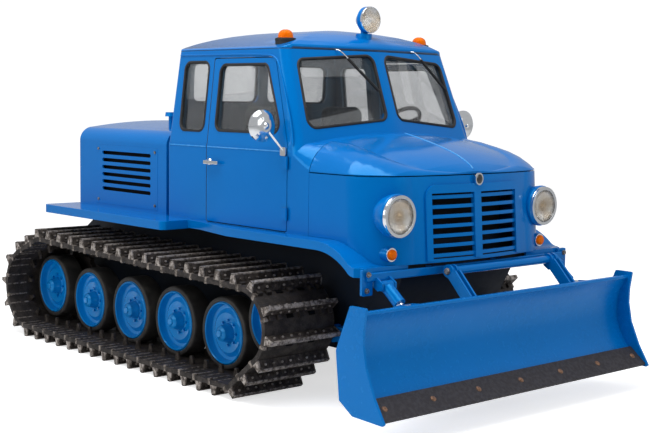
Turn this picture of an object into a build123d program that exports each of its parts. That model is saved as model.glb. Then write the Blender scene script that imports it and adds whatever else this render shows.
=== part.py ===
"""Snowcat groomer: a tracked carrier with a cab, a rear body and a front dozer blade.

Frame: millimetres, +X forward, +Y to the vehicle's left, +Z up.
The origin is on the ground, under the middle of the whole machine.
"""
from build123d import *
from math import acos, asin, atan2, cos, degrees, pi, radians, sin, sqrt, tan
import os

os.makedirs("parts", exist_ok=True)

# ---------------------------------------------------------------- clearances
SHUT_GAP = 7.0          # gap round a door or the bonnet
SEAT_GAP = 0.4          # gap where two pieces on one body only rest on each other
RUN_GAP = 6.0           # gap beside a moving arm

# ---------------------------------------------------------------- tracks
TRACK_INNER_Y = 650.0
TRACK_WIDTH = 620.0
TRACK_THICKNESS = 105.0         # link plate and grouser together
PLATE_THICKNESS = 34.0
GROUSER_FOOT = 62.0             # length of a grouser along the loop, at the plate
GROUSER_TIP = 26.0
SHOE_COUNT = 44
LOOP_REAR_X = -2035.0
LOOP_REAR_R = 418.0             # out to the grouser tips
RISE_X = -1800.0                # lift roller that carries the top run behind
RISE_Z = 762.0
LOOP_FRONT_X = 992.0
LOOP_FRONT_Z = 530.0
LOOP_FRONT_R = 355.0
GROUND_FRONT_X = 900.0          # where the loop leaves the ground at the front
HORN_Y = 1062.0
HORN_HEIGHT = 62.0
HORN_LENGTH = 56.0              # at the plate, along the loop
HORN_TIP = 26.0
HORN_THICKNESS = 22.0

# ---------------------------------------------------------------- running gear
WHEEL_COUNT = 5
WHEEL_FRONT_X = 455.0
WHEEL_R = 268.0
WHEEL_FACE_Y = 1000.0           # outer face of the tyres
TYRE_WIDTH = 170.0
TYRE_DEPTH = 36.0
TYRE_SIDES = 22
IDLER_R = 248.0
HUB_R = 62.0
SPINDLE_R = 32.0
ARM_LENGTH = 250.0
ARM_RISE = 95.0
ARM_THICKNESS = 60.0
SPROCKET_R = 300.0
SPROCKET_TEETH = 13
SPROCKET_FACE_Y = 735.0
SPROCKET_WIDTH = 45.0
ROLLER_R = 85.0
ROLLER_WIDTH = 90.0
ROLLER_GAP = 2.0
ROLLER_X = (-1000.0, 150.0)

# ---------------------------------------------------------------- hull
HULL_HALF_WIDTH = 560.0
HULL_BELLY_Z = 330.0
HULL_REAR_X = -2240.0
HULL_FRONT_X = 1830.0

HITCH_PIN_R = 25.0
HITCH_JAW = 24.0
HITCH_REACH = 185.0

# ---------------------------------------------------------------- decks and fenders
DECK_TOP_Z = 1155.0
DECK_THICKNESS = 15.0
DECK_LIP = 68.0
DECK_HALF_WIDTH = 1160.0
DECK_REAR_X = -1895.0
DECK_FRONT_X = -100.0
DECK_CORNER_R = 50.0
FENDER_SILL_Y = 930.0
FENDER_WIDE_Y = 1032.0
FENDER_SILL_X = 60.0            # the fender starts to widen here
FENDER_WIDE_X = 520.0
FENDER_CURVE_X = 1485.0         # and starts to curve down here
FENDER_NOSE_X = 1850.0
FENDER_TIP_X = 1935.0
FENDER_TIP_Z = 1014.0
FENDER_LIP = 62.0

# ---------------------------------------------------------------- cab
WALL = 45.0
CAB_HALF_WIDTH = 890.0
CAB_REAR_X = -425.0
CAB_CORNER_R = 75.0
CAB_REAR_BEND = 30.0
REAR_LEAN = 0.055               # forward lean of the upper rear wall
BELT_Z = 1735.0
LEAN_Z = 1695.0                 # where the sides start to lean in, behind the belt's step
EAVES_Z = 2430.0
TUMBLEHOME = 0.1125              # inward lean of the upper sides
SCREEN_RAKE = 0.375             # backward lean of the windscreen
SCREEN_VEE = 0.125              # sweep of each windscreen half in plan
SCREEN_X = 1170.0               # windscreen at the centre post, at SCREEN_Z
SCREEN_Z = 1930.0
COWL_FRONT_X = 1262.0
ROOF_RISE = 165.0

DOOR_REAR_X = 83.0
DOOR_FRONT_X = 1035.0
DOOR_HEAD_Z = 2375.0
HINGE_X = 1042.0
HINGE_Y = CAB_HALF_WIDTH + 14   # door hinge line outside the cab side
HINGE_R = 9.0
HINGE_LENGTH = 90.0
HINGE_Z = (1285.0, 1640.0)
HANDLE_X = 125.0
HANDLE_Z = 1604.0
HANDLE_LENGTH = 165.0

GLASS = 6.0

SEAT_Y = 385.0
SEAT_WIDTH = 430.0
SEAT_X = 240.0                  # rear edge of the seat cushions
SEAT_LENGTH = 480.0
CUSHION_Z = 1480.0
CUSHION_DEPTH = 120.0
BACKREST_X = 120.0
BACKREST_Z = 1790.0
BACKREST_HEIGHT = 500.0
BACKREST_DEPTH = 110.0
DASH_HALF_WIDTH = 640.0
DASH_Z = 1615.0
DASH_HEIGHT = 230.0
DASH_DEPTH = 110.0
WHEEL_CENTRE = (850.0, 360.0, 1890.0)
WHEEL_RIM_R = 200.0
COLUMN_R = 22.0
COLUMN_LENGTH = 230.0
COLUMN_LEAN = 45.0

MIRROR_HEAD = (934.0, -1020.0, 1892.0)
MIRROR_R = 112.0
MIRROR_STAY_R = 9.0

# ---------------------------------------------------------------- nose and bonnet
SEAM_Z = 1583.0                 # level of the bonnet's lower edge
NOSE_FOOT_Z = 1010.0
NOSE_TOP_X = 1970.0             # front of the nose at the seam, on the centre line
NOSE_FOOT_X = 2010.0            # and at its foot
SHEET = 22.0
# shoulder level, shoulder width, level at the shoulder's top, crown level
COWL_FRONT = (1592.0, 290.0, 1793.0, 1843.0)
GRILLE_HALF_WIDTH = 422.0
GRILLE_FOOT_Z = 1035.0
GRILLE_HEAD_Z = 1470.0
GRILLE_BARS = 7
GRILLE_BAR = 24.0
GRILLE_STRIP = 34.0             # half width of the centre strip
GRILLE_RIM = 14.0               # how far the rim stands off the nose
NOSE_BOW = 50.0
NOSE_CORNER = (330.0, 300.0)    # width and depth of the round front corners

# ---------------------------------------------------------------- lamps
LAMP_Y = 730.0
LAMP_Z = 1336.0
LAMP_FACE_X = 1990.0
LAMP_R = 138.0
LAMP_RIM = 22.0
BOWL_DEPTH = 190.0
SIGNAL_Y = 751.0
SIGNAL_Z = 1084.0
SIGNAL_R = 46.0
SPOT_X = 885.0
SPOT_Z = 2666.0
SPOT_R = 98.0
BEACON_X = 742.0
BEACON_Y = 677.0
BEACON_Z = 2509.0               # top of the beacon's base
BEACON_R = 56.0

# ---------------------------------------------------------------- rear body
REAR_BODY_BACK_X = -1860.0
REAR_BODY_FRONT_X = -500.0
REAR_BODY_HALF_WIDTH = 850.0
REAR_BODY_SHOULDER_Z = 1700.0
REAR_BODY_CROWN_Z = 1868.0
REAR_BODY_ROUND = (115.0, 115.0)    # width and height of the rounded shoulders
PANEL_BACK_X = -1540.0
PANEL_FRONT_X = -620.0
PANEL_FOOT_Z = 1180.0
PANEL_HEAD_Z = 1675.0
LOUVRES = 6
LOUVRE_LENGTH = 730.0
LOUVRE_PITCH = 60.0
BREATHER = (-725.0, -650.0, 1958.0)

# ---------------------------------------------------------------- blade and its linkage
BLADE_HALF_WIDTH = 1350.0
END_PLATE = 18.0
MOULDBOARD = 16.0
MOULD_TOP = (2295.0, 812.0)     # front face of the mouldboard, as x and z
MOULD_DEEP = (2213.0, 589.0)
MOULD_FOOT = (2335.0, 282.0)
EDGE_FOOT = (2473.0, 172.0)     # lower end of the cutting edge
EDGE_THICKNESS = 18.0
BLADE_TIP_X = 2500.0
PIVOT_X = 1240.0
PIVOT_Z = 450.0
PIVOT_R = 30.0
PUSH_ARM_WIDTH = 56.0
PUSH_ARM_GAP = 17.0
PUSH_ARM_Y = HULL_HALF_WIDTH + PUSH_ARM_GAP + PUSH_ARM_WIDTH / 2
PUSH_ARM_DEPTH = 110.0
BOX_X = 2140.0                  # cross box behind the mouldboard
BOX_Z = 435.0
BOX_SIZE = 130.0
BOX_HALF_LENGTH = BLADE_HALF_WIDTH - 170
BEAM_X = 1955.0                 # bow beam under the nose
BEAM_Z = 957.0
BEAM_DEPTH = 30.0
BEAM_HEIGHT = 55.0
TUBE_X = 2050.0                 # headstock tube in front of the nose's foot
TUBE_Z = 957.0
TUBE_R = 28.0
RAM_Y = 860.0
RAM_PIN_X = 1996.0
RAM_PIN_Z = 901.0
RAM_EYE_X = 2160.0
RAM_EYE_Z = 770.0
RAM_PIN_R = 18.0
RAM_EYE_R = 34.0
RAM_EYE_WIDTH = 88.0
EYE_SLACK = 5.0                 # room round the pin in the rod's eye
RAM_BARREL_R = 42.0
RAM_ROD_R = 22.0
LUG = 16.0
def write(part, name):
    part.label = name
    export_step(part, f"parts/{name}.step")


RISE_R = ROLLER_R + TRACK_THICKNESS + ROLLER_GAP


def on_circle(centre, radius, angle):
    return centre + Vector(cos(angle), sin(angle)) * radius


def tangent_angle(first, first_r, second, second_r):
    """Angle of the normal of the outer tangent over two circles."""
    span = second - first
    if second_r == 0:
        return atan2(span.Y, span.X) + acos(first_r / span.length)
    return atan2(span.Y, span.X) + acos((first_r - second_r) / span.length)


def loop_wire(inset):
    """Track loop drawn a given distance inside the grouser tips; called inside a BuildLine."""
    rear = Vector(LOOP_REAR_X, LOOP_REAR_R)
    rise = Vector(RISE_X, RISE_Z)
    front = Vector(LOOP_FRONT_X, LOOP_FRONT_Z)
    corner = Vector(GROUND_FRONT_X, 0)
    rear_r = LOOP_REAR_R - inset
    rise_r = RISE_R - inset
    front_r = LOOP_FRONT_R - inset
    climb = tangent_angle(rear, LOOP_REAR_R, rise, RISE_R)
    top = tangent_angle(rise, RISE_R, front, LOOP_FRONT_R)
    ramp = tangent_angle(front, LOOP_FRONT_R, corner, 0)
    foot_x = LOOP_FRONT_X + (front_r - (inset - LOOP_FRONT_Z) * sin(ramp)) / cos(ramp)
    rear_foot = Vector(LOOP_REAR_X, inset)
    ramp_front = on_circle(front, front_r, ramp)
    ThreePointArc(rear_foot, on_circle(rear, rear_r, (climb + radians(270)) / 2), on_circle(rear, rear_r, climb))
    Line(on_circle(rear, rear_r, climb), on_circle(rise, rise_r, climb))
    ThreePointArc(
        on_circle(rise, rise_r, climb), on_circle(rise, rise_r, (climb + top) / 2), on_circle(rise, rise_r, top),
    )
    Line(on_circle(rise, rise_r, top), on_circle(front, front_r, top))
    ThreePointArc(on_circle(front, front_r, top), on_circle(front, front_r, (top + ramp) / 2), ramp_front)
    Line(ramp_front, (foot_x, inset))
    Line((foot_x, inset), rear_foot)


# ================================================================ tracks
# Each track is one closed loop: link plates, tapered grousers outside and a row of guide
# horns inside, which run past the outer faces of the wheels.
with BuildLine(Plane.XY) as pitch_line:
    loop_wire(TRACK_THICKNESS - PLATE_THICKNESS / 2)
pitch_wire = pitch_line.wire()
shoe_pitch = pitch_wire.length / SHOE_COUNT
grouser_height = TRACK_THICKNESS - PLATE_THICKNESS / 2
horn_reach = HORN_HEIGHT + PLATE_THICKNESS / 2
shoe_places = []
for shoe in range(SHOE_COUNT):
    point = pitch_wire.position_at(shoe * shoe_pitch, PositionMode.LENGTH)
    ahead = pitch_wire.tangent_at(shoe * shoe_pitch, PositionMode.LENGTH)
    shoe_places.append(Location((point.X, point.Y, 0), (0, 0, degrees(atan2(ahead.Y, ahead.X)))))

with BuildPart() as track_right:
    with BuildSketch(Plane.XZ.offset(TRACK_INNER_Y)):
        with BuildLine():
            loop_wire(TRACK_THICKNESS - PLATE_THICKNESS)
        make_face()
        with Locations(*shoe_places):
            Polygon(
                (-GROUSER_FOOT / 2, 0), (GROUSER_FOOT / 2, 0),
                (GROUSER_TIP / 2, grouser_height), (-GROUSER_TIP / 2, grouser_height),
                align=None,
            )
        with BuildLine():
            loop_wire(TRACK_THICKNESS)
        make_face(mode=Mode.SUBTRACT)
    extrude(amount=TRACK_WIDTH)
    with BuildSketch(Plane.XZ.offset(HORN_Y - HORN_THICKNESS / 2)):
        with Locations(*shoe_places):
            Polygon(
                (-HORN_LENGTH / 2, 0), (HORN_LENGTH / 2, 0),
                (HORN_TIP / 2, -horn_reach), (-HORN_TIP / 2, -horn_reach),
                align=None,
            )
    extrude(amount=HORN_THICKNESS)
with BuildPart() as track_left:
    mirror(track_right.part, about=Plane.XZ)
write(track_right.part, "track_right")
write(track_left.part, "track_left")


# ================================================================ running gear
# Dished steel wheels with solid rubber tyres on trailing arms, a raised front idler,
# and at the rear a toothed sprocket that shares its shaft with the last wheel.
wheel_z = TRACK_THICKNESS + SEAT_GAP + WHEEL_R
wheel_pitch = (WHEEL_FRONT_X - LOOP_REAR_X) / (WHEEL_COUNT - 1)
road_places = [(WHEEL_FRONT_X - i * wheel_pitch, 0, wheel_z) for i in range(WHEEL_COUNT - 1)]
drive_place = (LOOP_REAR_X, 0, LOOP_REAR_R)
idler_place = (LOOP_FRONT_X, 0, LOOP_FRONT_Z)
tyre_back_y = WHEEL_FACE_Y - TYRE_WIDTH

# columns: outer radius, places
wheel_kinds = (
    (WHEEL_R, road_places + [drive_place]),
    (IDLER_R, [idler_place]),
)

discs = []
for wheel_r, places in wheel_kinds:
    rim_r = wheel_r - TYRE_DEPTH - SEAT_GAP
    with BuildPart() as disc:
        with BuildSketch(Plane.XY):
            Polygon(
                (0, -WHEEL_FACE_Y - 12), (HUB_R * 0.7, -WHEEL_FACE_Y - 12),
                (HUB_R, -WHEEL_FACE_Y + 12), (HUB_R, -WHEEL_FACE_Y + 62),
                (rim_r - 16, -WHEEL_FACE_Y + 88), (rim_r - 16, -WHEEL_FACE_Y + 6),
                (rim_r, -WHEEL_FACE_Y + 6), (rim_r, -tyre_back_y),
                (SPINDLE_R + 0.1, -tyre_back_y), (SPINDLE_R + 0.1, -WHEEL_FACE_Y + 40),
                (0, -WHEEL_FACE_Y + 40),
                align=None,
            )
        revolve(axis=Axis.Y)
    discs.append((disc.part, places))

with BuildPart() as wheel_discs:
    for shape, places in discs:
        with Locations(*places):
            add(shape)
    mirror(about=Plane.XZ)
write(wheel_discs.part, "wheel_discs")

with BuildPart() as tyres:
    for wheel_r, places in wheel_kinds:
        with BuildSketch(Plane.XZ.offset(tyre_back_y)):
            with Locations(*[(x, z) for x, _, z in places]):
                RegularPolygon(wheel_r, TYRE_SIDES)
                RegularPolygon(wheel_r - TYRE_DEPTH, TYRE_SIDES, major_radius=False, mode=Mode.SUBTRACT)
        extrude(amount=TYRE_WIDTH)
    mirror(about=Plane.XZ)
write(tyres.part, "tyres")

with BuildPart() as suspension_arms:
    arm_y = HULL_HALF_WIDTH + ARM_THICKNESS
    for x, _, z in road_places + [idler_place]:
        pivot_x, pivot_z = x + ARM_LENGTH, z + ARM_RISE
        if x > WHEEL_FRONT_X:
            pivot_x = x - ARM_LENGTH
        lean = degrees(atan2(pivot_z - z, pivot_x - x))
        reach = sqrt((pivot_x - x) ** 2 + (pivot_z - z) ** 2)
        middle = Location(((x + pivot_x) / 2, (z + pivot_z) / 2, 0), (0, 0, lean))
        with BuildSketch(Plane.XZ.offset(HULL_HALF_WIDTH)):
            with Locations(middle):
                SlotCenterToCenter(reach, 2 * HUB_R)
        extrude(amount=ARM_THICKNESS)
        with BuildSketch(Plane.XZ.offset(arm_y)):
            with Locations((x, z)):
                Circle(SPINDLE_R)
        extrude(amount=WHEEL_FACE_Y - 40.5 - arm_y)
    mirror(about=Plane.XZ)
write(suspension_arms.part, "suspension_arms")

with BuildPart() as sprockets:
    x, _, z = drive_place
    with BuildSketch(Plane.XZ.offset(SPROCKET_FACE_Y - SPROCKET_WIDTH)):
        with Locations((x, z)):
            Circle(SPROCKET_R - 28)
            with PolarLocations(SPROCKET_R - 30, SPROCKET_TEETH):
                Rectangle(60, 44)
    extrude(amount=SPROCKET_WIDTH)
    with BuildSketch(Plane.XZ.offset(HULL_HALF_WIDTH)):
        with Locations((x, z)):
            Circle(SPROCKET_R / 2)
    extrude(amount=SPROCKET_FACE_Y - HULL_HALF_WIDTH - SPROCKET_WIDTH)
    with BuildSketch(Plane.XZ.offset(SPROCKET_FACE_Y)):
        with Locations((x, z)):
            Circle(SPINDLE_R)
    extrude(amount=WHEEL_FACE_Y - 40.5 - SPROCKET_FACE_Y)
    mirror(about=Plane.XZ)
write(sprockets.part, "sprockets")

with BuildPart() as return_rollers:
    rise, front = Vector(RISE_X, RISE_Z), Vector(LOOP_FRONT_X, LOOP_FRONT_Z)
    top = tangent_angle(rise, RISE_R, front, LOOP_FRONT_R)
    for x in (RISE_X,) + ROLLER_X:
        roller_z = RISE_Z - (x - RISE_X) / tan(top)
        with BuildSketch(Plane.XZ.offset(HULL_HALF_WIDTH)):
            with Locations((x, roller_z)):
                Circle(SPINDLE_R)
        extrude(amount=TRACK_INNER_Y - HULL_HALF_WIDTH + 10)
        with BuildSketch(Plane.XZ.offset(TRACK_INNER_Y + 10)):
            with Locations((x, roller_z)):
                Circle(ROLLER_R)
        extrude(amount=ROLLER_WIDTH)
    mirror(about=Plane.XZ)
write(return_rollers.part, "return_rollers")


# ================================================================ hull
# Welded box between the tracks: flat belly, raked ends, lugs for the blade's push arms.
hull_top_z = DECK_TOP_Z - DECK_THICKNESS
with BuildPart() as hull:
    with BuildSketch(Plane.XZ.offset(-HULL_HALF_WIDTH)):
        Polygon(
            (HULL_REAR_X, hull_top_z - 260), (HULL_REAR_X, HULL_BELLY_Z + 120),
            (HULL_REAR_X + 120, HULL_BELLY_Z), (HULL_FRONT_X - 560, HULL_BELLY_Z),
            (HULL_FRONT_X - 160, HULL_BELLY_Z + 260), (HULL_FRONT_X, hull_top_z - 260),
            (HULL_FRONT_X, hull_top_z), (DECK_REAR_X, hull_top_z),
            (DECK_REAR_X, hull_top_z - 40),
            align=None,
        )
    extrude(amount=2 * HULL_HALF_WIDTH)
    with BuildSketch(Plane.XZ.offset(HULL_HALF_WIDTH)):
        with Locations((PIVOT_X, PIVOT_Z)):
            Circle(PIVOT_R)
    extrude(amount=PUSH_ARM_Y + PUSH_ARM_WIDTH / 2 - HULL_HALF_WIDTH)
    mirror(about=Plane.XZ)
write(hull.part, "hull")

with BuildPart() as tow_hitch:
    with BuildSketch(Plane.YZ.offset(HULL_REAR_X)):
        with Locations((0, 560)):
            RectangleRounded(300, 220, 20)
    extrude(amount=-20)
    for level in (520, 620):
        with BuildSketch(Plane.XY.offset(level - HITCH_JAW / 2)):
            with Locations((HULL_REAR_X - 20, 0)):
                Rectangle(2 * HITCH_REACH, 110)
            with Locations((HULL_REAR_X - 20 - HITCH_REACH, 0)):
                Circle(55)
            with Locations((HULL_REAR_X, 0)):
                Rectangle(2 * HITCH_REACH, 220, align=(Align.MIN, Align.CENTER), mode=Mode.SUBTRACT)
            with Locations((HULL_REAR_X - 20 - HITCH_REACH, 0)):
                Circle(HITCH_PIN_R, mode=Mode.SUBTRACT)
        extrude(amount=HITCH_JAW)
write(tow_hitch.part, "tow_hitch")


# ================================================================ decks and fenders
# Folded sheet with a turned-down lip: one wide deck behind, a long fender down each side.
lip_sheet = DECK_THICKNESS
deck_middle_x = (DECK_REAR_X + DECK_FRONT_X) / 2
deck_length = DECK_FRONT_X - DECK_REAR_X
with BuildPart() as rear_deck:
    with BuildSketch(Plane.XY.offset(DECK_TOP_Z - DECK_LIP)):
        with Locations((deck_middle_x, 0)):
            RectangleRounded(deck_length, 2 * DECK_HALF_WIDTH, DECK_CORNER_R)
            RectangleRounded(
                deck_length - 2 * lip_sheet, 2 * (DECK_HALF_WIDTH - lip_sheet),
                DECK_CORNER_R - lip_sheet, mode=Mode.SUBTRACT,
            )
            Rectangle(deck_length + 10, 2 * (TRACK_INNER_Y - 40), mode=Mode.SUBTRACT)
    extrude(amount=DECK_LIP - DECK_THICKNESS / 2)
    with BuildSketch(Plane.XY.offset(DECK_TOP_Z - DECK_THICKNESS)):
        with Locations((deck_middle_x, 0)):
            RectangleRounded(deck_length, 2 * DECK_HALF_WIDTH, DECK_CORNER_R)
    extrude(amount=DECK_THICKNESS)
write(rear_deck.part, "rear_deck")

fender_inner_y = TRACK_INNER_Y - 50
fender_rear_x = DECK_FRONT_X + 2


def fender_curve(drop):
    """Side view of the fender's top line, lowered by drop; called inside a BuildLine."""
    flat_end = (FENDER_CURVE_X, DECK_TOP_Z - drop)
    low = (FENDER_NOSE_X - 45, FENDER_TIP_Z + 30 - drop)
    toe = (FENDER_NOSE_X + 30, FENDER_TIP_Z - drop)
    Line((fender_rear_x, DECK_TOP_Z - drop), flat_end)
    ThreePointArc(flat_end, (FENDER_CURVE_X + 195, DECK_TOP_Z - 36 - drop), low)
    ThreePointArc(low, (FENDER_NOSE_X - 8, FENDER_TIP_Z + 6 - drop), toe)
    Line(toe, (FENDER_TIP_X, FENDER_TIP_Z - drop))


def fender_band(depth):
    """Side view of a strip under the fender's top line."""
    with BuildSketch(Plane.XZ) as band:
        with BuildLine():
            fender_curve(0)
            fender_curve(depth)
            Line((fender_rear_x, DECK_TOP_Z), (fender_rear_x, DECK_TOP_Z - depth))
            Line((FENDER_TIP_X, FENDER_TIP_Z), (FENDER_TIP_X, FENDER_TIP_Z - depth))
        make_face()
    return band.sketch


def fender_plan(inset, mode=Mode.ADD):
    """Plan of one fender, its outer and front edges drawn in by inset."""
    Polygon(
        (fender_rear_x, -fender_inner_y), (fender_rear_x, -FENDER_SILL_Y + inset),
        (FENDER_SILL_X, -FENDER_SILL_Y + inset), (FENDER_WIDE_X, -FENDER_WIDE_Y + inset),
        (FENDER_TIP_X - 60, -FENDER_WIDE_Y + inset), (FENDER_TIP_X - inset, -FENDER_WIDE_Y + 50),
        (FENDER_TIP_X - inset, -fender_inner_y),
        align=None, mode=mode,
    )


with BuildPart() as fender_plate:
    extrude(fender_band(DECK_THICKNESS), amount=DECK_HALF_WIDTH)
    with BuildSketch(Plane.XY):
        fender_plan(0)
    extrude(amount=DECK_TOP_Z + 10, mode=Mode.INTERSECT)

with BuildPart() as fender_edge:
    extrude(fender_band(FENDER_LIP), amount=DECK_HALF_WIDTH)
    with BuildSketch(Plane.XY):
        fender_plan(0)
        fender_plan(lip_sheet, mode=Mode.SUBTRACT)
    extrude(amount=DECK_TOP_Z + 10, mode=Mode.INTERSECT)

with BuildPart() as fenders:
    add(fender_plate.part)
    add(fender_edge.part)
    mirror(about=Plane.XZ)
write(fenders.part, "fenders")


# ================================================================ cab
def screen_x(z):
    """Windscreen plane on the centre line at a height."""
    return SCREEN_X - SCREEN_RAKE * (z - SCREEN_Z)


def side_y(z):
    """Outer cab side at a height: upright at first, then leaning inward."""
    return CAB_HALF_WIDTH - TUMBLEHOME * max(0, z - LEAN_Z)


def cab_plan(z, inset):
    """Plan of the upper cab at a height, drawn in by inset."""
    half = side_y(z) - inset
    rear = CAB_REAR_X + inset + REAR_LEAN * max(0, z - LEAN_Z)
    bend = max(CAB_CORNER_R - inset, 30)
    tuck = max(CAB_REAR_BEND - inset, 12)
    centre = screen_x(z) - inset
    corner = centre - SCREEN_VEE * (half - bend)
    cut = 1 - sqrt(0.5)
    right = [
        (corner, -(half - bend)),
        (corner - cut * bend, -(half - cut * bend)),
        (corner - bend, -half),
        (rear + tuck, -half),
        (rear + cut * tuck, -(half - cut * tuck)),
        (rear, -(half - tuck)),
    ]
    left = [(x, -y) for x, y in right]
    with BuildSketch(Plane.XY.offset(z)) as plan:
        with BuildLine():
            Line((centre, 0), right[0])
            ThreePointArc(*right[0:3])
            Line(right[2], right[3])
            ThreePointArc(*right[3:6])
            Line(right[5], left[5])
            ThreePointArc(*left[3:6])
            Line(left[3], left[2])
            ThreePointArc(*left[0:3])
            Line(left[0], (centre, 0))
        make_face()
    return plan.sketch


def crown_section(x, inset, foot_z, shoulder_z, side_in, side_z, crown_z, half=CAB_HALF_WIDTH):
    """Cross-section of the cowl and bonnet: upright sides, round shoulders, crowned top."""
    cut = 1 - sqrt(0.5)
    half = half - inset
    shoulder_z = shoulder_z - inset / 2
    side_z = side_z - inset
    crown_z = crown_z - inset
    top = half - side_in
    round_y = half - cut * side_in
    round_z = side_z - cut * (side_z - shoulder_z)
    with BuildSketch(Plane.YZ.offset(x)) as section:
        with BuildLine():
            Line((-half, foot_z), (-half, shoulder_z))
            ThreePointArc((-half, shoulder_z), (-round_y, round_z), (-top, side_z))
            ThreePointArc((-top, side_z), (0, crown_z), (top, side_z))
            ThreePointArc((top, side_z), (round_y, round_z), (half, shoulder_z))
            Line((half, shoulder_z), (half, foot_z))
            Line((half, foot_z), (-half, foot_z))
        make_face()
    return section.sketch


def lower_plan(front_x, inset, z):
    """Plan of the upright lower cab, drawn in by inset, with round rear corners."""
    rear = CAB_REAR_X + inset
    half = CAB_HALF_WIDTH - inset
    tuck = max(CAB_REAR_BEND - inset, 12)
    with BuildSketch(Plane.XY.offset(z)) as plan:
        with Locations(((front_x + rear) / 2, 0)):
            RectangleRounded(front_x - rear, 2 * half, tuck)
        with Locations((front_x - tuck, 0)):
            Rectangle(tuck, 2 * half, align=(Align.MIN, Align.CENTER))
    return plan.sketch


COWL_BACK = (BELT_Z - 15, 40, BELT_Z + 35, BELT_Z + 115)
with BuildPart() as cab_walls:
    extrude(lower_plan(COWL_FRONT_X, 0, DECK_TOP_Z), amount=SEAM_Z - DECK_TOP_Z)
    extrude(lower_plan(DOOR_FRONT_X, 0, SEAM_Z), amount=BELT_Z - SEAM_Z)
    loft([
        crown_section(DOOR_FRONT_X, 0, SEAM_Z, *COWL_BACK),
        crown_section(COWL_FRONT_X, 0, SEAM_Z, *COWL_FRONT),
    ], ruled=True)
    loft([cab_plan(LEAN_Z, 0), cab_plan(EAVES_Z, 0)], ruled=True)
    loft([cab_plan(LEAN_Z, WALL), cab_plan(EAVES_Z + 1, WALL)], ruled=True, mode=Mode.SUBTRACT)
    extrude(
        lower_plan(DOOR_FRONT_X, WALL, DECK_TOP_Z - 1), amount=BELT_Z - DECK_TOP_Z + 1,
        mode=Mode.SUBTRACT,
    )
    extrude(
        lower_plan(COWL_FRONT_X - WALL, WALL, DECK_TOP_Z - 1), amount=SEAM_Z - DECK_TOP_Z + 1,
        mode=Mode.SUBTRACT,
    )
    loft([
        crown_section(DOOR_FRONT_X - 5, WALL, SEAM_Z - 60, *COWL_BACK),
        crown_section(COWL_FRONT_X - WALL, WALL, SEAM_Z - 60, *COWL_FRONT),
    ], ruled=True, mode=Mode.SUBTRACT)




def side_outline(points, bend, grow=0.0):
    """Side view of an opening with rounded corners, grown or shrunk by a gap."""
    with BuildSketch(Plane.XZ) as outline:
        Polygon(*points, align=None)
        fillet(outline.vertices(), bend)
        if grow:
            offset(amount=grow, kind=Kind.ARC)
    return outline.sketch


def front_outline(points, bend, grow=0.0):
    """Front view of a window with rounded corners."""
    with BuildSketch(Plane.YZ) as outline:
        Polygon(*points, align=None)
        fillet(outline.vertices(), bend)
        if grow:
            offset(amount=grow, kind=Kind.ARC)
    return outline.sketch


door_points = (
    (DOOR_REAR_X, DECK_TOP_Z + 1), (DOOR_FRONT_X, DECK_TOP_Z + 1), (DOOR_FRONT_X, BELT_Z + 10),
    (DOOR_FRONT_X - 230, DOOR_HEAD_Z), (DOOR_REAR_X, DOOR_HEAD_Z),
)
door_window = (
    (DOOR_REAR_X + 85, BELT_Z + 102), (DOOR_FRONT_X - 90, BELT_Z + 102),
    (DOOR_FRONT_X - 315, DOOR_HEAD_Z - 53), (DOOR_REAR_X + 85, DOOR_HEAD_Z - 53),
)
quarter_window = (
    (CAB_REAR_X + 140, BELT_Z + 93), (DOOR_REAR_X - 55, BELT_Z + 93),
    (DOOR_REAR_X - 55, DOOR_HEAD_Z - 30), (CAB_REAR_X + 140, DOOR_HEAD_Z - 30),
)
screen_half = ((-52, 1932), (-52, 2398), (-718, 2352), (-752, 1868))
rear_window = ((-45, 2040), (-45, 2350), (-690, 2350), (-690, 2040))
DOOR_BEND = 24.0
WINDOW_BEND = 62.0
outside_y = CAB_HALF_WIDTH + 60
inside_y = side_y(EAVES_Z) - 2 * WALL


def side_prism(outline):
    """Outline cut through the right-hand cab side only."""
    with BuildPart() as prism:
        extrude(outline, amount=outside_y)
        with BuildSketch(Plane.XZ):
            Rectangle(9000, 9000)
        extrude(amount=inside_y, mode=Mode.SUBTRACT)
    return prism.part


def end_prism(outline, low_x, high_x):
    """Outline cut lengthwise through one end of the cab."""
    with BuildPart() as prism:
        extrude(outline, amount=high_x)
        with BuildSketch(Plane.YZ.offset(-9000)):
            Rectangle(9000, 9000)
        extrude(amount=9000 + low_x, mode=Mode.SUBTRACT)
    return prism.part


def window_prisms(grow):
    """Prisms of the fixed windows on the right-hand half of the cab."""
    front = front_outline(screen_half, WINDOW_BEND, grow)
    with BuildPart() as rear:
        extrude(front_outline(rear_window, WINDOW_BEND, grow), amount=CAB_REAR_X - 60)
        with BuildSketch(Plane.YZ):
            Rectangle(9000, 9000)
        extrude(amount=CAB_REAR_X + 2 * WALL, mode=Mode.SUBTRACT)
    side = side_prism(side_outline(quarter_window, WINDOW_BEND, grow))
    return end_prism(front, DOOR_FRONT_X - 400, COWL_FRONT_X + 200), rear.part, side


with BuildPart() as cab_shell:
    add(cab_walls.part)
    for prism in window_prisms(0):
        add(prism, mode=Mode.SUBTRACT)
        add(mirror(prism, about=Plane.XZ, mode=Mode.PRIVATE), mode=Mode.SUBTRACT)
    doorway = side_prism(side_outline(door_points, DOOR_BEND))
    add(doorway, mode=Mode.SUBTRACT)
    add(mirror(doorway, about=Plane.XZ, mode=Mode.PRIVATE), mode=Mode.SUBTRACT)
write(cab_shell.part, "cab_shell")

with BuildPart() as glass_layer:
    loft([cab_plan(LEAN_Z, WALL / 2 - GLASS / 2), cab_plan(EAVES_Z, WALL / 2 - GLASS / 2)], ruled=True)
    loft(
        [cab_plan(LEAN_Z, WALL / 2 + GLASS / 2), cab_plan(EAVES_Z, WALL / 2 + GLASS / 2)],
        ruled=True, mode=Mode.SUBTRACT,
    )

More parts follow.
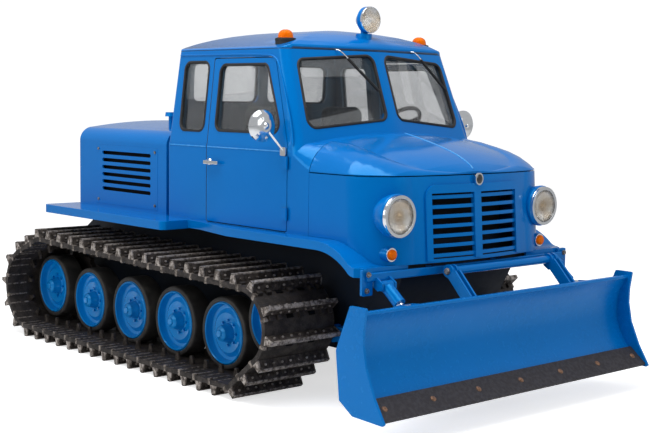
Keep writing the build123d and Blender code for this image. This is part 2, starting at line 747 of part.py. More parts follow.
with BuildPart() as cab_panes:
    for prism in window_prisms(-SEAT_GAP):
        add(glass_layer.part & prism)
    mirror(about=Plane.XZ)
write(cab_panes.part, "cab_panes")

with BuildPart() as door_right:
    add(cab_walls.part)
    add(side_prism(side_outline(door_points, DOOR_BEND, -SHUT_GAP)), mode=Mode.INTERSECT)
    add(side_prism(side_outline(door_window, WINDOW_BEND)), mode=Mode.SUBTRACT)
    for z in HINGE_Z:
        with BuildSketch(Plane.XY.offset(z - HINGE_LENGTH / 2)):
            with Locations((HINGE_X, -HINGE_Y)):
                Circle(HINGE_R)
            Polygon(
                (HINGE_X - 60, 2 - CAB_HALF_WIDTH), (HINGE_X - 24, 2 - CAB_HALF_WIDTH),
                (HINGE_X - 24, -HINGE_Y + 7), (HINGE_X, -HINGE_Y + 7),
                (HINGE_X, -HINGE_Y), (HINGE_X - 60, -HINGE_Y), align=None,
            )
        extrude(amount=HINGE_LENGTH)
    with BuildSketch(Plane.XZ.offset(CAB_HALF_WIDTH - 1)):
        with Locations((HANDLE_X, HANDLE_Z)):
            Circle(15)
    extrude(amount=30)
    with BuildSketch(Plane.XZ.offset(CAB_HALF_WIDTH + 26)):
        with Locations((HANDLE_X + HANDLE_LENGTH / 2 - 20, HANDLE_Z)):
            SlotOverall(HANDLE_LENGTH, 22)
    extrude(amount=14)
with BuildPart() as door_left:
    mirror(door_right.part, about=Plane.XZ)
write(door_right.part, "door_right")
write(door_left.part, "door_left")

with BuildPart() as door_pane_right:
    add(glass_layer.part & side_prism(side_outline(door_window, WINDOW_BEND, -SEAT_GAP)))
with BuildPart() as door_pane_left:
    mirror(door_pane_right.part, about=Plane.XZ)
write(door_pane_right.part, "door_pane_right")
write(door_pane_left.part, "door_pane_left")

# The roof panel is a shallow dome; columns: height above the eaves, inset from the cab side.
roof_levels = ((0, 0), (32, 5), (62, 32), (94, 86), (124, 170), (148, 290), (ROOF_RISE, 430))


def roof_crown(drop):
    """Lengthwise prism under the roof's crowned cross-section, lowered by drop."""
    side = side_y(EAVES_Z) + 20
    with BuildPart() as prism:
        with BuildSketch(Plane.YZ.offset(CAB_REAR_X - 50)):
            with BuildLine():
                low = EAVES_Z + 0.02 * ROOF_RISE - drop
                ThreePointArc((-side, low), (0, EAVES_Z + ROOF_RISE - drop), (side, low))
                Polyline((side, low), (side, EAVES_Z - 100), (-side, EAVES_Z - 100), (-side, low))
            make_face()
        extrude(amount=COWL_FRONT_X - CAB_REAR_X)
    return prism.part


with BuildPart() as roof_void:
    loft([
        cab_plan(EAVES_Z, inset + WALL).moved(Location((0, 0, rise - 30 if rise else -1)))
        for rise, inset in roof_levels[:-1]
    ], ruled=True)
    add(roof_crown(30), mode=Mode.INTERSECT)
with BuildPart() as roof_block:
    loft(
        [cab_plan(EAVES_Z, inset).moved(Location((0, 0, rise))) for rise, inset in roof_levels],
        ruled=True,
    )
    add(roof_crown(0), mode=Mode.INTERSECT)
with BuildPart() as roof:
    add(roof_block.part)
    add(roof_void.part, mode=Mode.SUBTRACT)
write(roof.part, "roof")

with BuildPart() as cab_floor:
    with BuildSketch(Plane.XY.offset(DECK_TOP_Z - DECK_THICKNESS)):
        with Locations(((DECK_FRONT_X + COWL_FRONT_X) / 2, 0)):
            Rectangle(COWL_FRONT_X - DECK_FRONT_X - 4, 2 * (TRACK_INNER_Y - 50) - 2)
    extrude(amount=DECK_THICKNESS)
write(cab_floor.part, "cab_floor")

# ---------------------------------------------------------------- cab interior
seat_middle_x = SEAT_X + SEAT_LENGTH / 2
with BuildPart() as seat_pedestals:
    with BuildSketch(Plane.XY.offset(DECK_TOP_Z)):
        with Locations((seat_middle_x - 30, -SEAT_Y), (seat_middle_x - 30, SEAT_Y)):
            RectangleRounded(SEAT_LENGTH - 60, SEAT_WIDTH - 60, 30)
    extrude(amount=CUSHION_Z - DECK_TOP_Z - SEAT_GAP)
write(seat_pedestals.part, "seat_pedestals")

with BuildPart() as seat_cushions:
    with BuildSketch(Plane.XY.offset(CUSHION_Z)):
        with Locations((seat_middle_x, -SEAT_Y), (seat_middle_x, SEAT_Y)):
            RectangleRounded(SEAT_LENGTH, SEAT_WIDTH, 60)
    extrude(amount=CUSHION_DEPTH)
write(seat_cushions.part, "seat_cushions")

with BuildPart() as seat_backs:
    with BuildSketch(Plane.YZ.offset(BACKREST_X)):
        with Locations((-SEAT_Y, BACKREST_Z), (SEAT_Y, BACKREST_Z)):
            RectangleRounded(SEAT_WIDTH, BACKREST_HEIGHT, 80)
    extrude(amount=BACKREST_DEPTH)
write(seat_backs.part, "seat_backs")

lean = radians(COLUMN_LEAN)
wheel_plane = Plane(WHEEL_CENTRE, x_dir=(0, 1, 0), z_dir=(-cos(lean), 0, sin(lean)))
with BuildPart() as dashboard:
    with BuildSketch(Plane.XZ.offset(-DASH_HALF_WIDTH)):
        with Locations((DOOR_FRONT_X - 35 + DASH_DEPTH / 2, DASH_Z)):
            RectangleRounded(DASH_DEPTH, DASH_HEIGHT, 20)
    extrude(amount=2 * DASH_HALF_WIDTH)
    with BuildSketch(wheel_plane.offset(-30)):
        Circle(COLUMN_R)
    extrude(amount=-COLUMN_LENGTH)
write(dashboard.part, "dashboard")

with BuildPart() as steering_wheel:
    with BuildSketch(wheel_plane.offset(-14)):
        Circle(WHEEL_RIM_R)
        Circle(WHEEL_RIM_R - 26, mode=Mode.SUBTRACT)
        Circle(2 * COLUMN_R)
        with PolarLocations(0, 3, start_angle=90):
            with Locations((WHEEL_RIM_R / 2, 0)):
                Rectangle(WHEEL_RIM_R - 20, 26)
    extrude(amount=26)
write(steering_wheel.part, "steering_wheel")


# ================================================================ nose and bonnet
def nose_front_x(z):
    """Foremost point of the nose on the centre line at a height; the face leans back."""
    return NOSE_TOP_X + (NOSE_FOOT_X - NOSE_TOP_X) * (SEAM_Z - z) / (SEAM_Z - NOSE_FOOT_Z)


def nose_plan(z, inset, rear_x):
    """Plan of the nose at a height: bowed front, large round corners, square at the back."""
    front = nose_front_x(z) - inset
    half = CAB_HALF_WIDTH - inset
    cut = 1 - sqrt(0.5)
    wide, deep = NOSE_CORNER
    bow = front - NOSE_BOW
    right = [
        (bow, -(half - wide)),
        (bow - cut * deep, -(half - cut * wide)),
        (bow - deep, -half),
    ]
    left = [(x, -y) for x, y in right]
    with BuildSketch(Plane.XY.offset(z)) as plan:
        with BuildLine():
            ThreePointArc(left[0], (front, 0), right[0])
            ThreePointArc(*right)
            Line(right[2], (rear_x, -half))
            Line((rear_x, -half), (rear_x, half))
            Line((rear_x, half), left[2])
            ThreePointArc(*left)
        make_face()
    return plan.sketch


def nose_block(inset, low_z, high_z, rear_x):
    """Solid filling of the nose between two heights, inset from its outer skin."""
    with BuildPart() as block:
        loft([nose_plan(low_z, inset, rear_x), nose_plan(high_z, inset, rear_x)], ruled=True)
    return block.part


nose_rear_x = COWL_FRONT_X + 2
nose_outer = nose_block(0, NOSE_FOOT_Z, SEAM_Z, nose_rear_x)
grille_top = GRILLE_HEAD_Z + 14
with BuildPart() as grille_opening:
    with BuildSketch(Plane.YZ.offset(COWL_FRONT_X + 400)) as opening:
        with BuildLine():
            half = GRILLE_HALF_WIDTH + 8
            Polyline(
                (-half, GRILLE_FOOT_Z), (-half, grille_top), (half, grille_top),
                (half, GRILLE_FOOT_Z), close=True,
            )
        make_face()
        fillet(opening.vertices().group_by(Axis.Y)[-1], 60)
    extrude(amount=800)

with BuildPart() as nose_shell:
    add(nose_outer)
    add(nose_block(SHEET, NOSE_FOOT_Z - 5, SEAM_Z + 5, nose_rear_x - 10), mode=Mode.SUBTRACT)
    add(grille_opening.part, mode=Mode.SUBTRACT)
    with BuildSketch(Plane.XZ.offset(-DECK_HALF_WIDTH)):
        with BuildLine():
            fender_curve(-SEAT_GAP)
            Polyline((fender_rear_x, DECK_TOP_Z + SEAT_GAP), (fender_rear_x, 500), (FENDER_TIP_X, 500),
                     (FENDER_TIP_X, FENDER_TIP_Z + SEAT_GAP))
        make_face()
    extrude(amount=2 * DECK_HALF_WIDTH, mode=Mode.SUBTRACT)
write(nose_shell.part, "nose_shell")

# The grille: horizontal bars in two halves, a centre strip and a raised rim round them.
bar_pitch = (GRILLE_HEAD_Z - 26 - GRILLE_FOOT_Z - 22) / (GRILLE_BARS - 1)
with BuildPart() as grille_bars:
    add(nose_block(-2, NOSE_FOOT_Z - 5, SEAM_Z, nose_rear_x))
    add(nose_block(SHEET - 4, NOSE_FOOT_Z - 10, SEAM_Z + 5, nose_rear_x - 10), mode=Mode.SUBTRACT)
    with BuildSketch(Plane.YZ.offset(COWL_FRONT_X + 400)):
        for bar in range(GRILLE_BARS):
            with Locations((0, GRILLE_FOOT_Z + 22 + bar * bar_pitch)):
                Rectangle(2 * GRILLE_HALF_WIDTH + 16, GRILLE_BAR)
        with Locations((0, (GRILLE_FOOT_Z + grille_top) / 2)):
            Rectangle(2 * GRILLE_STRIP, grille_top - GRILLE_FOOT_Z)
    extrude(amount=800, mode=Mode.INTERSECT)
    add(nose_shell.part, mode=Mode.SUBTRACT)

with BuildPart() as grille:
    add(nose_block(-GRILLE_RIM, NOSE_FOOT_Z - 5, SEAM_Z - 20, nose_rear_x))
    add(nose_block(-SEAT_GAP, NOSE_FOOT_Z - 10, SEAM_Z, nose_rear_x - 10), mode=Mode.SUBTRACT)
    with BuildSketch(Plane.YZ.offset(COWL_FRONT_X + 400)) as rim:
        with BuildLine():
            half = GRILLE_HALF_WIDTH + 50
            Polyline((-half, GRILLE_FOOT_Z - 10), (-half, grille_top + 44), (half, grille_top + 44),
                     (half, GRILLE_FOOT_Z - 10), close=True)
        make_face()
        fillet(rim.vertices().group_by(Axis.Y)[-1], 90)
        with BuildLine():
            half = GRILLE_HALF_WIDTH
            Polyline((-half, GRILLE_FOOT_Z - 20), (-half, GRILLE_HEAD_Z), (half, GRILLE_HEAD_Z),
                     (half, GRILLE_FOOT_Z - 20), close=True)
        make_face(mode=Mode.SUBTRACT)
        with Locations((0, (GRILLE_FOOT_Z + grille_top) / 2)):
            Rectangle(2 * GRILLE_STRIP, grille_top - GRILLE_FOOT_Z + 20)
    extrude(amount=800, mode=Mode.INTERSECT)
    add(grille_bars.part)
write(grille.part, "grille")

with BuildPart() as radiator:
    with BuildSketch(Plane.YZ.offset(HULL_FRONT_X - 60)):
        with Locations((0, (hull_top_z + GRILLE_HEAD_Z) / 2 + 20)):
            RectangleRounded(2 * GRILLE_HALF_WIDTH, GRILLE_HEAD_Z - hull_top_z + 40, 20)
    extrude(amount=55)
write(radiator.part, "radiator")

with BuildPart() as engine:
    with BuildSketch(Plane.XY.offset(hull_top_z)):
        with Locations((COWL_FRONT_X + 260, 0)):
            RectangleRounded(440, 520, 30)
    extrude(amount=430)
write(engine.part, "engine")

def nose_half(x):
    """Half width of the nose's plan at the seam, at a distance from the front."""
    wide, deep = NOSE_CORNER
    corner = NOSE_TOP_X - NOSE_BOW
    if x > corner:
        return (CAB_HALF_WIDTH - wide) * sqrt((NOSE_TOP_X - x) / NOSE_BOW)
    share = max(0, (x - corner + deep) / deep)
    return CAB_HALF_WIDTH - wide * (1 - sqrt(1 - share ** 2))


# Bonnet; columns: x, shoulder level, shoulder width, level of the shoulder's top, crown level
bonnet_rear_x = COWL_FRONT_X + SHUT_GAP
bonnet_foot_z = SEAM_Z + SHUT_GAP
bonnet_sections = (
    (bonnet_rear_x, 1596, 290, 1793, 1843),
    (1400, 1596, 290, 1775, 1819),
    (1540, 1596, 290, 1743, 1786),
    (1640, 1596, 290, 1717, 1760),
    (1720, 1596, 290, 1692, 1736),
    (1790, 1595, 285, 1667, 1711),
    (1850, 1595, 280, 1643, 1684),
    (1895, 1594, 260, 1625, 1659),
    (1925, 1593, 220, 1613, 1638),
    (1945, 1593, 180, 1605, 1621),
    (1959, 1592, 110, 1599, 1607),
)
with BuildPart() as bonnet:
    loft([
        crown_section(x, 0, bonnet_foot_z, *levels, half=nose_half(x))
        for x, *levels in bonnet_sections
    ], ruled=True)
    loft([
        crown_section(x - 4, SHEET, bonnet_foot_z - 30, *levels, half=nose_half(x))
        for x, *levels in bonnet_sections[:-1]
    ], ruled=True, mode=Mode.SUBTRACT)
write(bonnet.part, "bonnet")

disc_back_x = NOSE_TOP_X + GRILLE_RIM + 10
with BuildPart() as nose_disc:
    with BuildSketch(Plane.YZ.offset(disc_back_x)):
        with Locations((0, SEAM_Z - 27)):
            Ellipse(38, 42)
    extrude(amount=12)
    with BuildSketch(Plane.YZ.offset(disc_back_x)):
        with Locations((0, SEAM_Z + 9)):
            Rectangle(24, 8)
    extrude(amount=-50)
    add(bonnet.part, mode=Mode.SUBTRACT)
write(nose_disc.part, "nose_disc")


# ================================================================ lamps
# Round headlamps in bulging bowls on the nose's corners, amber signals under them,
# two amber beacons and one spotlight on the roof.
bowl_r = LAMP_R + 8
bowl_front_x = LAMP_FACE_X - LAMP_RIM
with BuildPart() as lamp_bowls:
    with BuildSketch(Plane.XZ.offset(LAMP_Y)):
        with BuildLine():
            Line((bowl_front_x - BOWL_DEPTH - 60, LAMP_Z), (bowl_front_x, LAMP_Z))
            Line((bowl_front_x, LAMP_Z), (bowl_front_x, LAMP_Z + bowl_r - 12))
            ThreePointArc(
                (bowl_front_x, LAMP_Z + bowl_r - 12), (bowl_front_x - 8, LAMP_Z + bowl_r - 3),
                (bowl_front_x - 22, LAMP_Z + bowl_r),
            )
            ThreePointArc(
                (bowl_front_x - 22, LAMP_Z + bowl_r),
                (bowl_front_x - 0.62 * BOWL_DEPTH, LAMP_Z + 0.80 * bowl_r),
                (bowl_front_x - BOWL_DEPTH, LAMP_Z + 0.35 * bowl_r),
            )
            Line(
                (bowl_front_x - BOWL_DEPTH, LAMP_Z + 0.35 * bowl_r),
                (bowl_front_x - BOWL_DEPTH - 60, LAMP_Z + 0.35 * bowl_r),
            )
            Line(
                (bowl_front_x - BOWL_DEPTH - 60, LAMP_Z + 0.35 * bowl_r),
                (bowl_front_x - BOWL_DEPTH - 60, LAMP_Z),
            )
        make_face()
    revolve(axis=Axis((0, -LAMP_Y, LAMP_Z), (1, 0, 0)))
    add(nose_block(-SEAT_GAP, NOSE_FOOT_Z, SEAM_Z, nose_rear_x), mode=Mode.SUBTRACT)
    mirror(about=Plane.XZ)
write(lamp_bowls.part, "lamp_bowls")

with BuildPart() as lamp_rims:
    with BuildSketch(Plane.YZ.offset(LAMP_FACE_X - LAMP_RIM)):
        with Locations((-LAMP_Y, LAMP_Z), (LAMP_Y, LAMP_Z)):
            Circle(LAMP_R)
            Circle(LAMP_R - LAMP_RIM, mode=Mode.SUBTRACT)
    extrude(amount=LAMP_RIM)
    with BuildSketch(Plane.YZ.offset(COWL_FRONT_X + 400)):
        with Locations((-SIGNAL_Y, SIGNAL_Z), (SIGNAL_Y, SIGNAL_Z)):
            Circle(SIGNAL_R)
    extrude(amount=nose_front_x(SIGNAL_Z) - 70 - COWL_FRONT_X - 400)
    add(nose_block(-SEAT_GAP, NOSE_FOOT_Z, SEAM_Z, nose_rear_x), mode=Mode.SUBTRACT)
write(lamp_rims.part, "lamp_rims")

with BuildPart() as lamp_lenses:
    with BuildSketch(Plane.YZ.offset(LAMP_FACE_X - LAMP_RIM)):
        with Locations((-LAMP_Y, LAMP_Z), (LAMP_Y, LAMP_Z)):
            Circle(LAMP_R - LAMP_RIM - SEAT_GAP)
    extrude(amount=LAMP_RIM - 2)
write(lamp_lenses.part, "lamp_lenses")

with BuildPart() as amber_lenses:
    with BuildSketch(Plane.YZ.offset(nose_front_x(SIGNAL_Z) - 70)):
        with Locations((-SIGNAL_Y, SIGNAL_Z), (SIGNAL_Y, SIGNAL_Z)):
            Circle(SIGNAL_R - 10)
    extrude(amount=20)
    add(nose_block(-SEAT_GAP, NOSE_FOOT_Z, SEAM_Z, nose_rear_x), mode=Mode.SUBTRACT)
    with BuildSketch(Plane.XY.offset(BEACON_Z)):
        with Locations((BEACON_X, -BEACON_Y), (BEACON_X, BEACON_Y)):
            Circle(BEACON_R)
    extrude(amount=62, taper=16)
write(amber_lenses.part, "amber_lenses")

with BuildPart() as beacon_bases:
    with BuildSketch(Plane.XY.offset(BEACON_Z)):
        with Locations((BEACON_X, -BEACON_Y), (BEACON_X, BEACON_Y)):
            Circle(BEACON_R + 18)
    extrude(amount=-60)
    add(roof_block.part, mode=Mode.SUBTRACT)
write(beacon_bases.part, "beacon_bases")

with BuildPart() as spotlight:
    with BuildSketch(Plane.YZ.offset(SPOT_X + 10)):
        with Locations((0, SPOT_Z)):
            Circle(SPOT_R)
    extrude(amount=-36)
    extrude(spotlight.faces().sort_by(Axis.X)[0], amount=74, taper=38)
    with BuildSketch(Plane.XY.offset(EAVES_Z + ROOF_RISE - 90)):
        with Locations((SPOT_X - 50, 0)):
            Circle(26)
    extrude(amount=SPOT_Z - EAVES_Z - ROOF_RISE + 60)
    with BuildSketch(Plane.XY.offset(EAVES_Z + ROOF_RISE - 90)):
        with Locations((SPOT_X - 50, 0)):
            Circle(60)
    extrude(amount=60)
    add(roof_block.part, mode=Mode.SUBTRACT)
write(spotlight.part, "spotlight")

with BuildPart() as spotlight_lens:
    with BuildSketch(Plane.YZ.offset(SPOT_X + 10)):
        with Locations((0, SPOT_Z)):
            Circle(SPOT_R)
    extrude(amount=16)
write(spotlight_lens.part, "spotlight_lens")


# ================================================================ rear body
# Closed box behind the cab with a crowned top; one louvred panel on each side.
panel_length = PANEL_FRONT_X - PANEL_BACK_X
panel_height = PANEL_HEAD_Z - PANEL_FOOT_Z
panel_middle = ((PANEL_FRONT_X + PANEL_BACK_X) / 2, (PANEL_FOOT_Z + PANEL_HEAD_Z) / 2)
round_y, round_z = REAR_BODY_ROUND
bend_y, bend_z = 0.3 * round_y, REAR_BODY_SHOULDER_Z + 0.7 * round_z
breather_x, breather_y, breather_top_z = BREATHER
with BuildPart() as rear_body:
    with BuildSketch(Plane.YZ.offset(REAR_BODY_BACK_X)) as section:
        with BuildLine():
            half = REAR_BODY_HALF_WIDTH
            top = REAR_BODY_SHOULDER_Z
            Line((-half, DECK_TOP_Z), (-half, top))
            ThreePointArc((-half, top), (bend_y - half, bend_z), (round_y - half, top + round_z))
            ThreePointArc((round_y - half, top + round_z), (0, REAR_BODY_CROWN_Z), (half - round_y, top + round_z))
            ThreePointArc((half - round_y, top + round_z), (half - bend_y, bend_z), (half, top))
            Line((half, top), (half, DECK_TOP_Z))
            Line((half, DECK_TOP_Z), (-half, DECK_TOP_Z))
        make_face()
    extrude(amount=REAR_BODY_FRONT_X - REAR_BODY_BACK_X)
    fillet(rear_body.faces().sort_by(Axis.X)[0].edges().filter_by(lambda e: e.center().Z > DECK_TOP_Z + 1), 60)
    with BuildSketch(Plane.XZ.offset(REAR_BODY_HALF_WIDTH - 50)):
        with Locations(panel_middle):
            Rectangle(panel_length, panel_height)
    extrude(amount=60, mode=Mode.SUBTRACT)
    with BuildSketch(Plane.XZ.offset(50 - REAR_BODY_HALF_WIDTH)):
        with Locations(panel_middle):
            Rectangle(panel_length, panel_height)
    extrude(amount=-60, mode=Mode.SUBTRACT)
    with BuildSketch(Plane.XY.offset(REAR_BODY_SHOULDER_Z)):
        with Locations((breather_x, breather_y)):
            Circle(22)
    extrude(amount=breather_top_z - 10 - REAR_BODY_SHOULDER_Z)
    with BuildSketch(Plane.XY.offset(breather_top_z)):
        with Locations((breather_x, breather_y)):
            Circle(46)
    extrude(amount=-34, taper=-8)
write(rear_body.part, "rear_body")

with BuildPart() as louvre_panels:
    with BuildSketch(Plane.XZ.offset(REAR_BODY_HALF_WIDTH - 12)):
        with Locations(panel_middle):
            Rectangle(panel_length - 1, panel_height - 1)
        with Locations((panel_middle[0] - 5, panel_middle[1] + 32)):
            with GridLocations(0, LOUVRE_PITCH, 1, LOUVRES):
                SlotOverall(LOUVRE_LENGTH, LOUVRE_PITCH / 2, mode=Mode.SUBTRACT)
    extrude(amount=14)
    mirror(about=Plane.XZ)
write(louvre_panels.part, "louvre_panels")


# ================================================================ mirrors
mirror_foot = (DOOR_FRONT_X - 38, -CAB_HALF_WIDTH, BELT_Z - 18)
with BuildPart() as mirror_right:
    with BuildLine() as stay:
        Line(mirror_foot, MIRROR_HEAD)
    with BuildSketch(Plane(origin=stay.line @ 0, z_dir=stay.line % 0)):
        Circle(MIRROR_STAY_R)
    sweep()
    with BuildSketch(Plane.XZ.offset(CAB_HALF_WIDTH)):
        with Locations((mirror_foot[0], mirror_foot[2])):
            RectangleRounded(60, 60, 12)
    extrude(amount=14)
    with BuildSketch(Plane.YZ.offset(MIRROR_HEAD[0] - 30)):
        with Locations(MIRROR_HEAD[1:]):
            Circle(MIRROR_R)
    extrude(amount=16)
    with BuildSketch(Plane.YZ.offset(MIRROR_HEAD[0] - 14)) as rim:
        with Locations(MIRROR_HEAD[1:]):
            Circle(MIRROR_R)
    with BuildSketch(Plane.YZ.offset(MIRROR_HEAD[0] + 12)) as dome:
        with Locations(MIRROR_HEAD[1:]):
            Circle(0.75 * MIRROR_R)
    with BuildSketch(Plane.YZ.offset(MIRROR_HEAD[0] + 26)) as crest:
        with Locations(MIRROR_HEAD[1:]):
            Circle(0.35 * MIRROR_R)
    loft([rim.sketch, dome.sketch, crest.sketch], ruled=True)
    add(cab_walls.part, mode=Mode.SUBTRACT)
with BuildPart() as mirror_left:
    mirror(mirror_right.part, about=Plane.XZ)
write(mirror_right.part, "mirror_right")
write(mirror_left.part, "mirror_left")


# ================================================================ front beam
# Bow beam on two standoffs, lugs under it for the lift rams, bolted plates at its ends.
def lug_outline(points, bend):
    """Plate outline in side view with rounded corners."""
    with BuildSketch(Plane.XZ) as outline:
        Polygon(*points, align=None)
        fillet(outline.vertices(), bend)
    return outline.sketch


def side_plates(outline, middles, thickness):
    """Plates of one outline, each centred on a distance to the right of the middle."""
    with BuildPart() as plates:
        for middle in middles:
            extrude(outline.moved(Location((0, -middle + thickness / 2, 0))), amount=thickness)
    return plates.part


lug_y = RAM_EYE_WIDTH / 2 + 5 + LUG / 2
lug_places = (RAM_Y - lug_y, RAM_Y + lug_y)
ram_lug = (
    (BEAM_X - 15, BEAM_Z - 10), (BEAM_X - 15, BEAM_Z - 62), (RAM_PIN_X - 10, RAM_PIN_Z - 34),
    (RAM_PIN_X + 32, RAM_PIN_Z - 22), (RAM_PIN_X + 32, RAM_PIN_Z + 20), (BEAM_X + 15, BEAM_Z),
)
with BuildPart() as front_beam_half:
    with BuildSketch(Plane.XZ):
        with Locations((BEAM_X, BEAM_Z)):
            RectangleRounded(BEAM_DEPTH, BEAM_HEIGHT, 8)
    extrude(amount=1000)
    with BuildSketch(Plane.YZ.offset(HULL_FRONT_X)):
        with Locations((-330, BEAM_Z)):
            Rectangle(70, BEAM_HEIGHT - 5)
    extrude(amount=BEAM_X - HULL_FRONT_X)
    add(side_plates(lug_outline(ram_lug, 9), lug_places, LUG))
    with BuildSketch(Plane.XZ.offset(RAM_Y - lug_y)):
        with Locations((RAM_PIN_X, RAM_PIN_Z)):
            Circle(RAM_PIN_R)
    extrude(amount=2 * lug_y)
    with BuildSketch(Plane.YZ.offset(FENDER_TIP_X + SEAT_GAP)):
        with Locations((47 - FENDER_WIDE_Y, BEAM_Z - 32)):
            RectangleRounded(92, 170, 12)
    extrude(amount=20)
with BuildPart() as front_beam:
    add(front_beam_half.part)
    mirror(about=Plane.XZ)
write(front_beam.part, "front_beam")


# ================================================================ blade
def mould_band(near, far):
    """Side view of a layer of the mouldboard between two depths behind its front face."""
    edge = [(x - depth, z - depth / 3) for depth in (near, far) for x, z in (MOULD_TOP, MOULD_DEEP, MOULD_FOOT)]
    with BuildSketch(Plane.XZ) as band:
        with BuildLine():
            ThreePointArc(*edge[0:3])
            Line(edge[2], edge[5])
            ThreePointArc(*edge[3:6])
            Line(edge[3], edge[0])
        make_face()
    return band.sketch


edge_length = sqrt((EDGE_FOOT[0] - MOULD_FOOT[0]) ** 2 + (EDGE_FOOT[1] - MOULD_FOOT[1]) ** 2)
edge_run = ((EDGE_FOOT[0] - MOULD_FOOT[0]) / edge_length, (EDGE_FOOT[1] - MOULD_FOOT[1]) / edge_length)
edge_up = (-edge_run[1], edge_run[0])


def along_edge(run, up):
    """Point by the cutting edge: distance down its face from the top, distance off it."""
    return (
        MOULD_FOOT[0] + edge_run[0] * run + edge_up[0] * up,
        MOULD_FOOT[1] + edge_run[1] * run + edge_up[1] * up,
    )


blade_inner_y = BLADE_HALF_WIDTH - END_PLATE
end_plate = (
    (2190, 846), (2333, 846), (2313, 720), (2311, 615), (2338, 480), (2413, 314),
    (BLADE_TIP_X, EDGE_FOOT[1] + 4), (BLADE_TIP_X - 14, EDGE_FOOT[1] - 8), (2224, 173),
    (2104, 250), (2069, 555),
)
ram_arm = (
    (2262, 812), (RAM_EYE_X + 10, RAM_EYE_Z + 34), (RAM_EYE_X - 32, RAM_EYE_Z + 18),
    (RAM_EYE_X - 32, RAM_EYE_Z - 22), (RAM_EYE_X - 20, 640), (BOX_X - 30, BOX_Z), (2262, BOX_Z),
)
rib = ((2270, 808), (2236, 808), (2130, 600), (BOX_X - 40, BOX_Z), (2262, BOX_Z - 40))
with BuildPart() as blade_ribs:
    add(side_plates(lug_outline(ram_arm, 8), lug_places, LUG))
    add(side_plates(lug_outline(rib, 6), (1150, 500), LUG))
    with BuildSketch(Plane.XZ.offset(RAM_Y - lug_y)):
        with Locations((RAM_EYE_X, RAM_EYE_Z)):
            Circle(RAM_PIN_R)
    extrude(amount=2 * lug_y)
    with BuildSketch(Plane.XZ.offset(400)):
        with BuildLine():
            ThreePointArc(MOULD_TOP, MOULD_DEEP, MOULD_FOOT)
            Polyline(
                MOULD_FOOT, (3000, MOULD_FOOT[1]), (3000, MOULD_TOP[1] + 60),
                (MOULD_TOP[0], MOULD_TOP[1] + 60), MOULD_TOP,
            )
        make_face()
    extrude(amount=BLADE_HALF_WIDTH, mode=Mode.SUBTRACT)

with BuildPart() as blade_half:
    extrude(mould_band(0, MOULDBOARD), amount=blade_inner_y)
    with BuildSketch(Plane.XZ):
        Polygon(along_edge(-12, 0), along_edge(edge_length - 70, 0), along_edge(edge_length - 70, -MOULDBOARD),
                along_edge(-12, -MOULDBOARD), align=None)
        with Locations((MOULD_TOP[0] - 14, MOULD_TOP[1] - 6)):
            RectangleRounded(36, 24, 8)
    extrude(amount=blade_inner_y)
    with BuildSketch(Plane.XZ.offset(blade_inner_y)) as plate:
        Polygon(*end_plate, align=None)
        fillet(plate.vertices().sort_by(Axis.X)[:-2], 12)
    extrude(amount=END_PLATE)
    add(blade_ribs.part)
with BuildPart() as blade:
    add(blade_half.part)
    mirror(about=Plane.XZ)
write(blade.part, "blade")

with BuildPart() as cutting_edge:
    with BuildSketch(Plane.XZ.offset(-blade_inner_y + SEAT_GAP)):
        Polygon(along_edge(0, SEAT_GAP), along_edge(edge_length, SEAT_GAP),
                along_edge(edge_length - 6, SEAT_GAP + EDGE_THICKNESS), along_edge(0, SEAT_GAP + EDGE_THICKNESS),
                align=None)
    extrude(amount=2 * (blade_inner_y - SEAT_GAP))
write(cutting_edge.part, "cutting_edge")

with BuildPart() as push_frame:
    with BuildSketch(Plane.XZ.offset(PUSH_ARM_Y - PUSH_ARM_WIDTH / 2)):
        with Locations((PIVOT_X, PIVOT_Z)):
            Circle(PUSH_ARM_DEPTH / 2 + 8)
        Polygon(
            (PIVOT_X, PIVOT_Z - PUSH_ARM_DEPTH / 2), (BOX_X - 40, BOX_Z - 50), (BOX_X - 40, BOX_Z + 50),
            (PIVOT_X, PIVOT_Z + PUSH_ARM_DEPTH / 2), align=None,
        )
        with Locations((PIVOT_X, PIVOT_Z)):
            Circle(PIVOT_R + SEAT_GAP, mode=Mode.SUBTRACT)
    extrude(amount=PUSH_ARM_WIDTH)
    mirror(about=Plane.XZ)
    with BuildSketch(Plane.XZ.offset(-BOX_HALF_LENGTH)):
        with Locations((BOX_X, BOX_Z)):
            RectangleRounded(BOX_SIZE, BOX_SIZE, 12)
    extrude(amount=2 * BOX_HALF_LENGTH)
    add(blade.part, mode=Mode.SUBTRACT)
write(push_frame.part, "push_frame")

arm_outline = (
    (TUBE_X - 36, TUBE_Z - 24), (TUBE_X + 10, TUBE_Z - 52), (2160, 800), (2272, 690), (2272, 800),
    (TUBE_X + 60, TUBE_Z + 12),
)
with BuildPart() as headstock:
    with BuildSketch(Plane.XZ.offset(-800)):
        with Locations((TUBE_X, TUBE_Z)):
            Circle(TUBE_R)
    extrude(amount=800 + 345)
    for middles in ((290, 335), (-705, -755)):
        for middle in middles:
            with BuildSketch(Plane.XZ.offset(middle - LUG / 2)):
                with Locations((TUBE_X, TUBE_Z)):
                    Circle(44)
                Polygon(*arm_outline, align=None)
            extrude(amount=LUG)
    for middle in (312, -730):
        with BuildSketch(Plane.XZ.offset(middle - 26)):
            Polygon((2130, 850), (2150, 828), (2272, 710), (2272, 760), align=None)
        extrude(amount=52)
    add(blade.part, mode=Mode.SUBTRACT)
    with BuildSketch(Plane.XZ.offset(1000)):
        with BuildLine():
            ThreePointArc(MOULD_TOP, MOULD_DEEP, MOULD_FOOT)
            Polyline(
                MOULD_FOOT, (3000, MOULD_FOOT[1]), (3000, MOULD_TOP[1] + 60),
                (MOULD_TOP[0], MOULD_TOP[1] + 60), MOULD_TOP,
            )
        make_face()
    extrude(amount=-2000, mode=Mode.SUBTRACT)
write(headstock.part, "headstock")


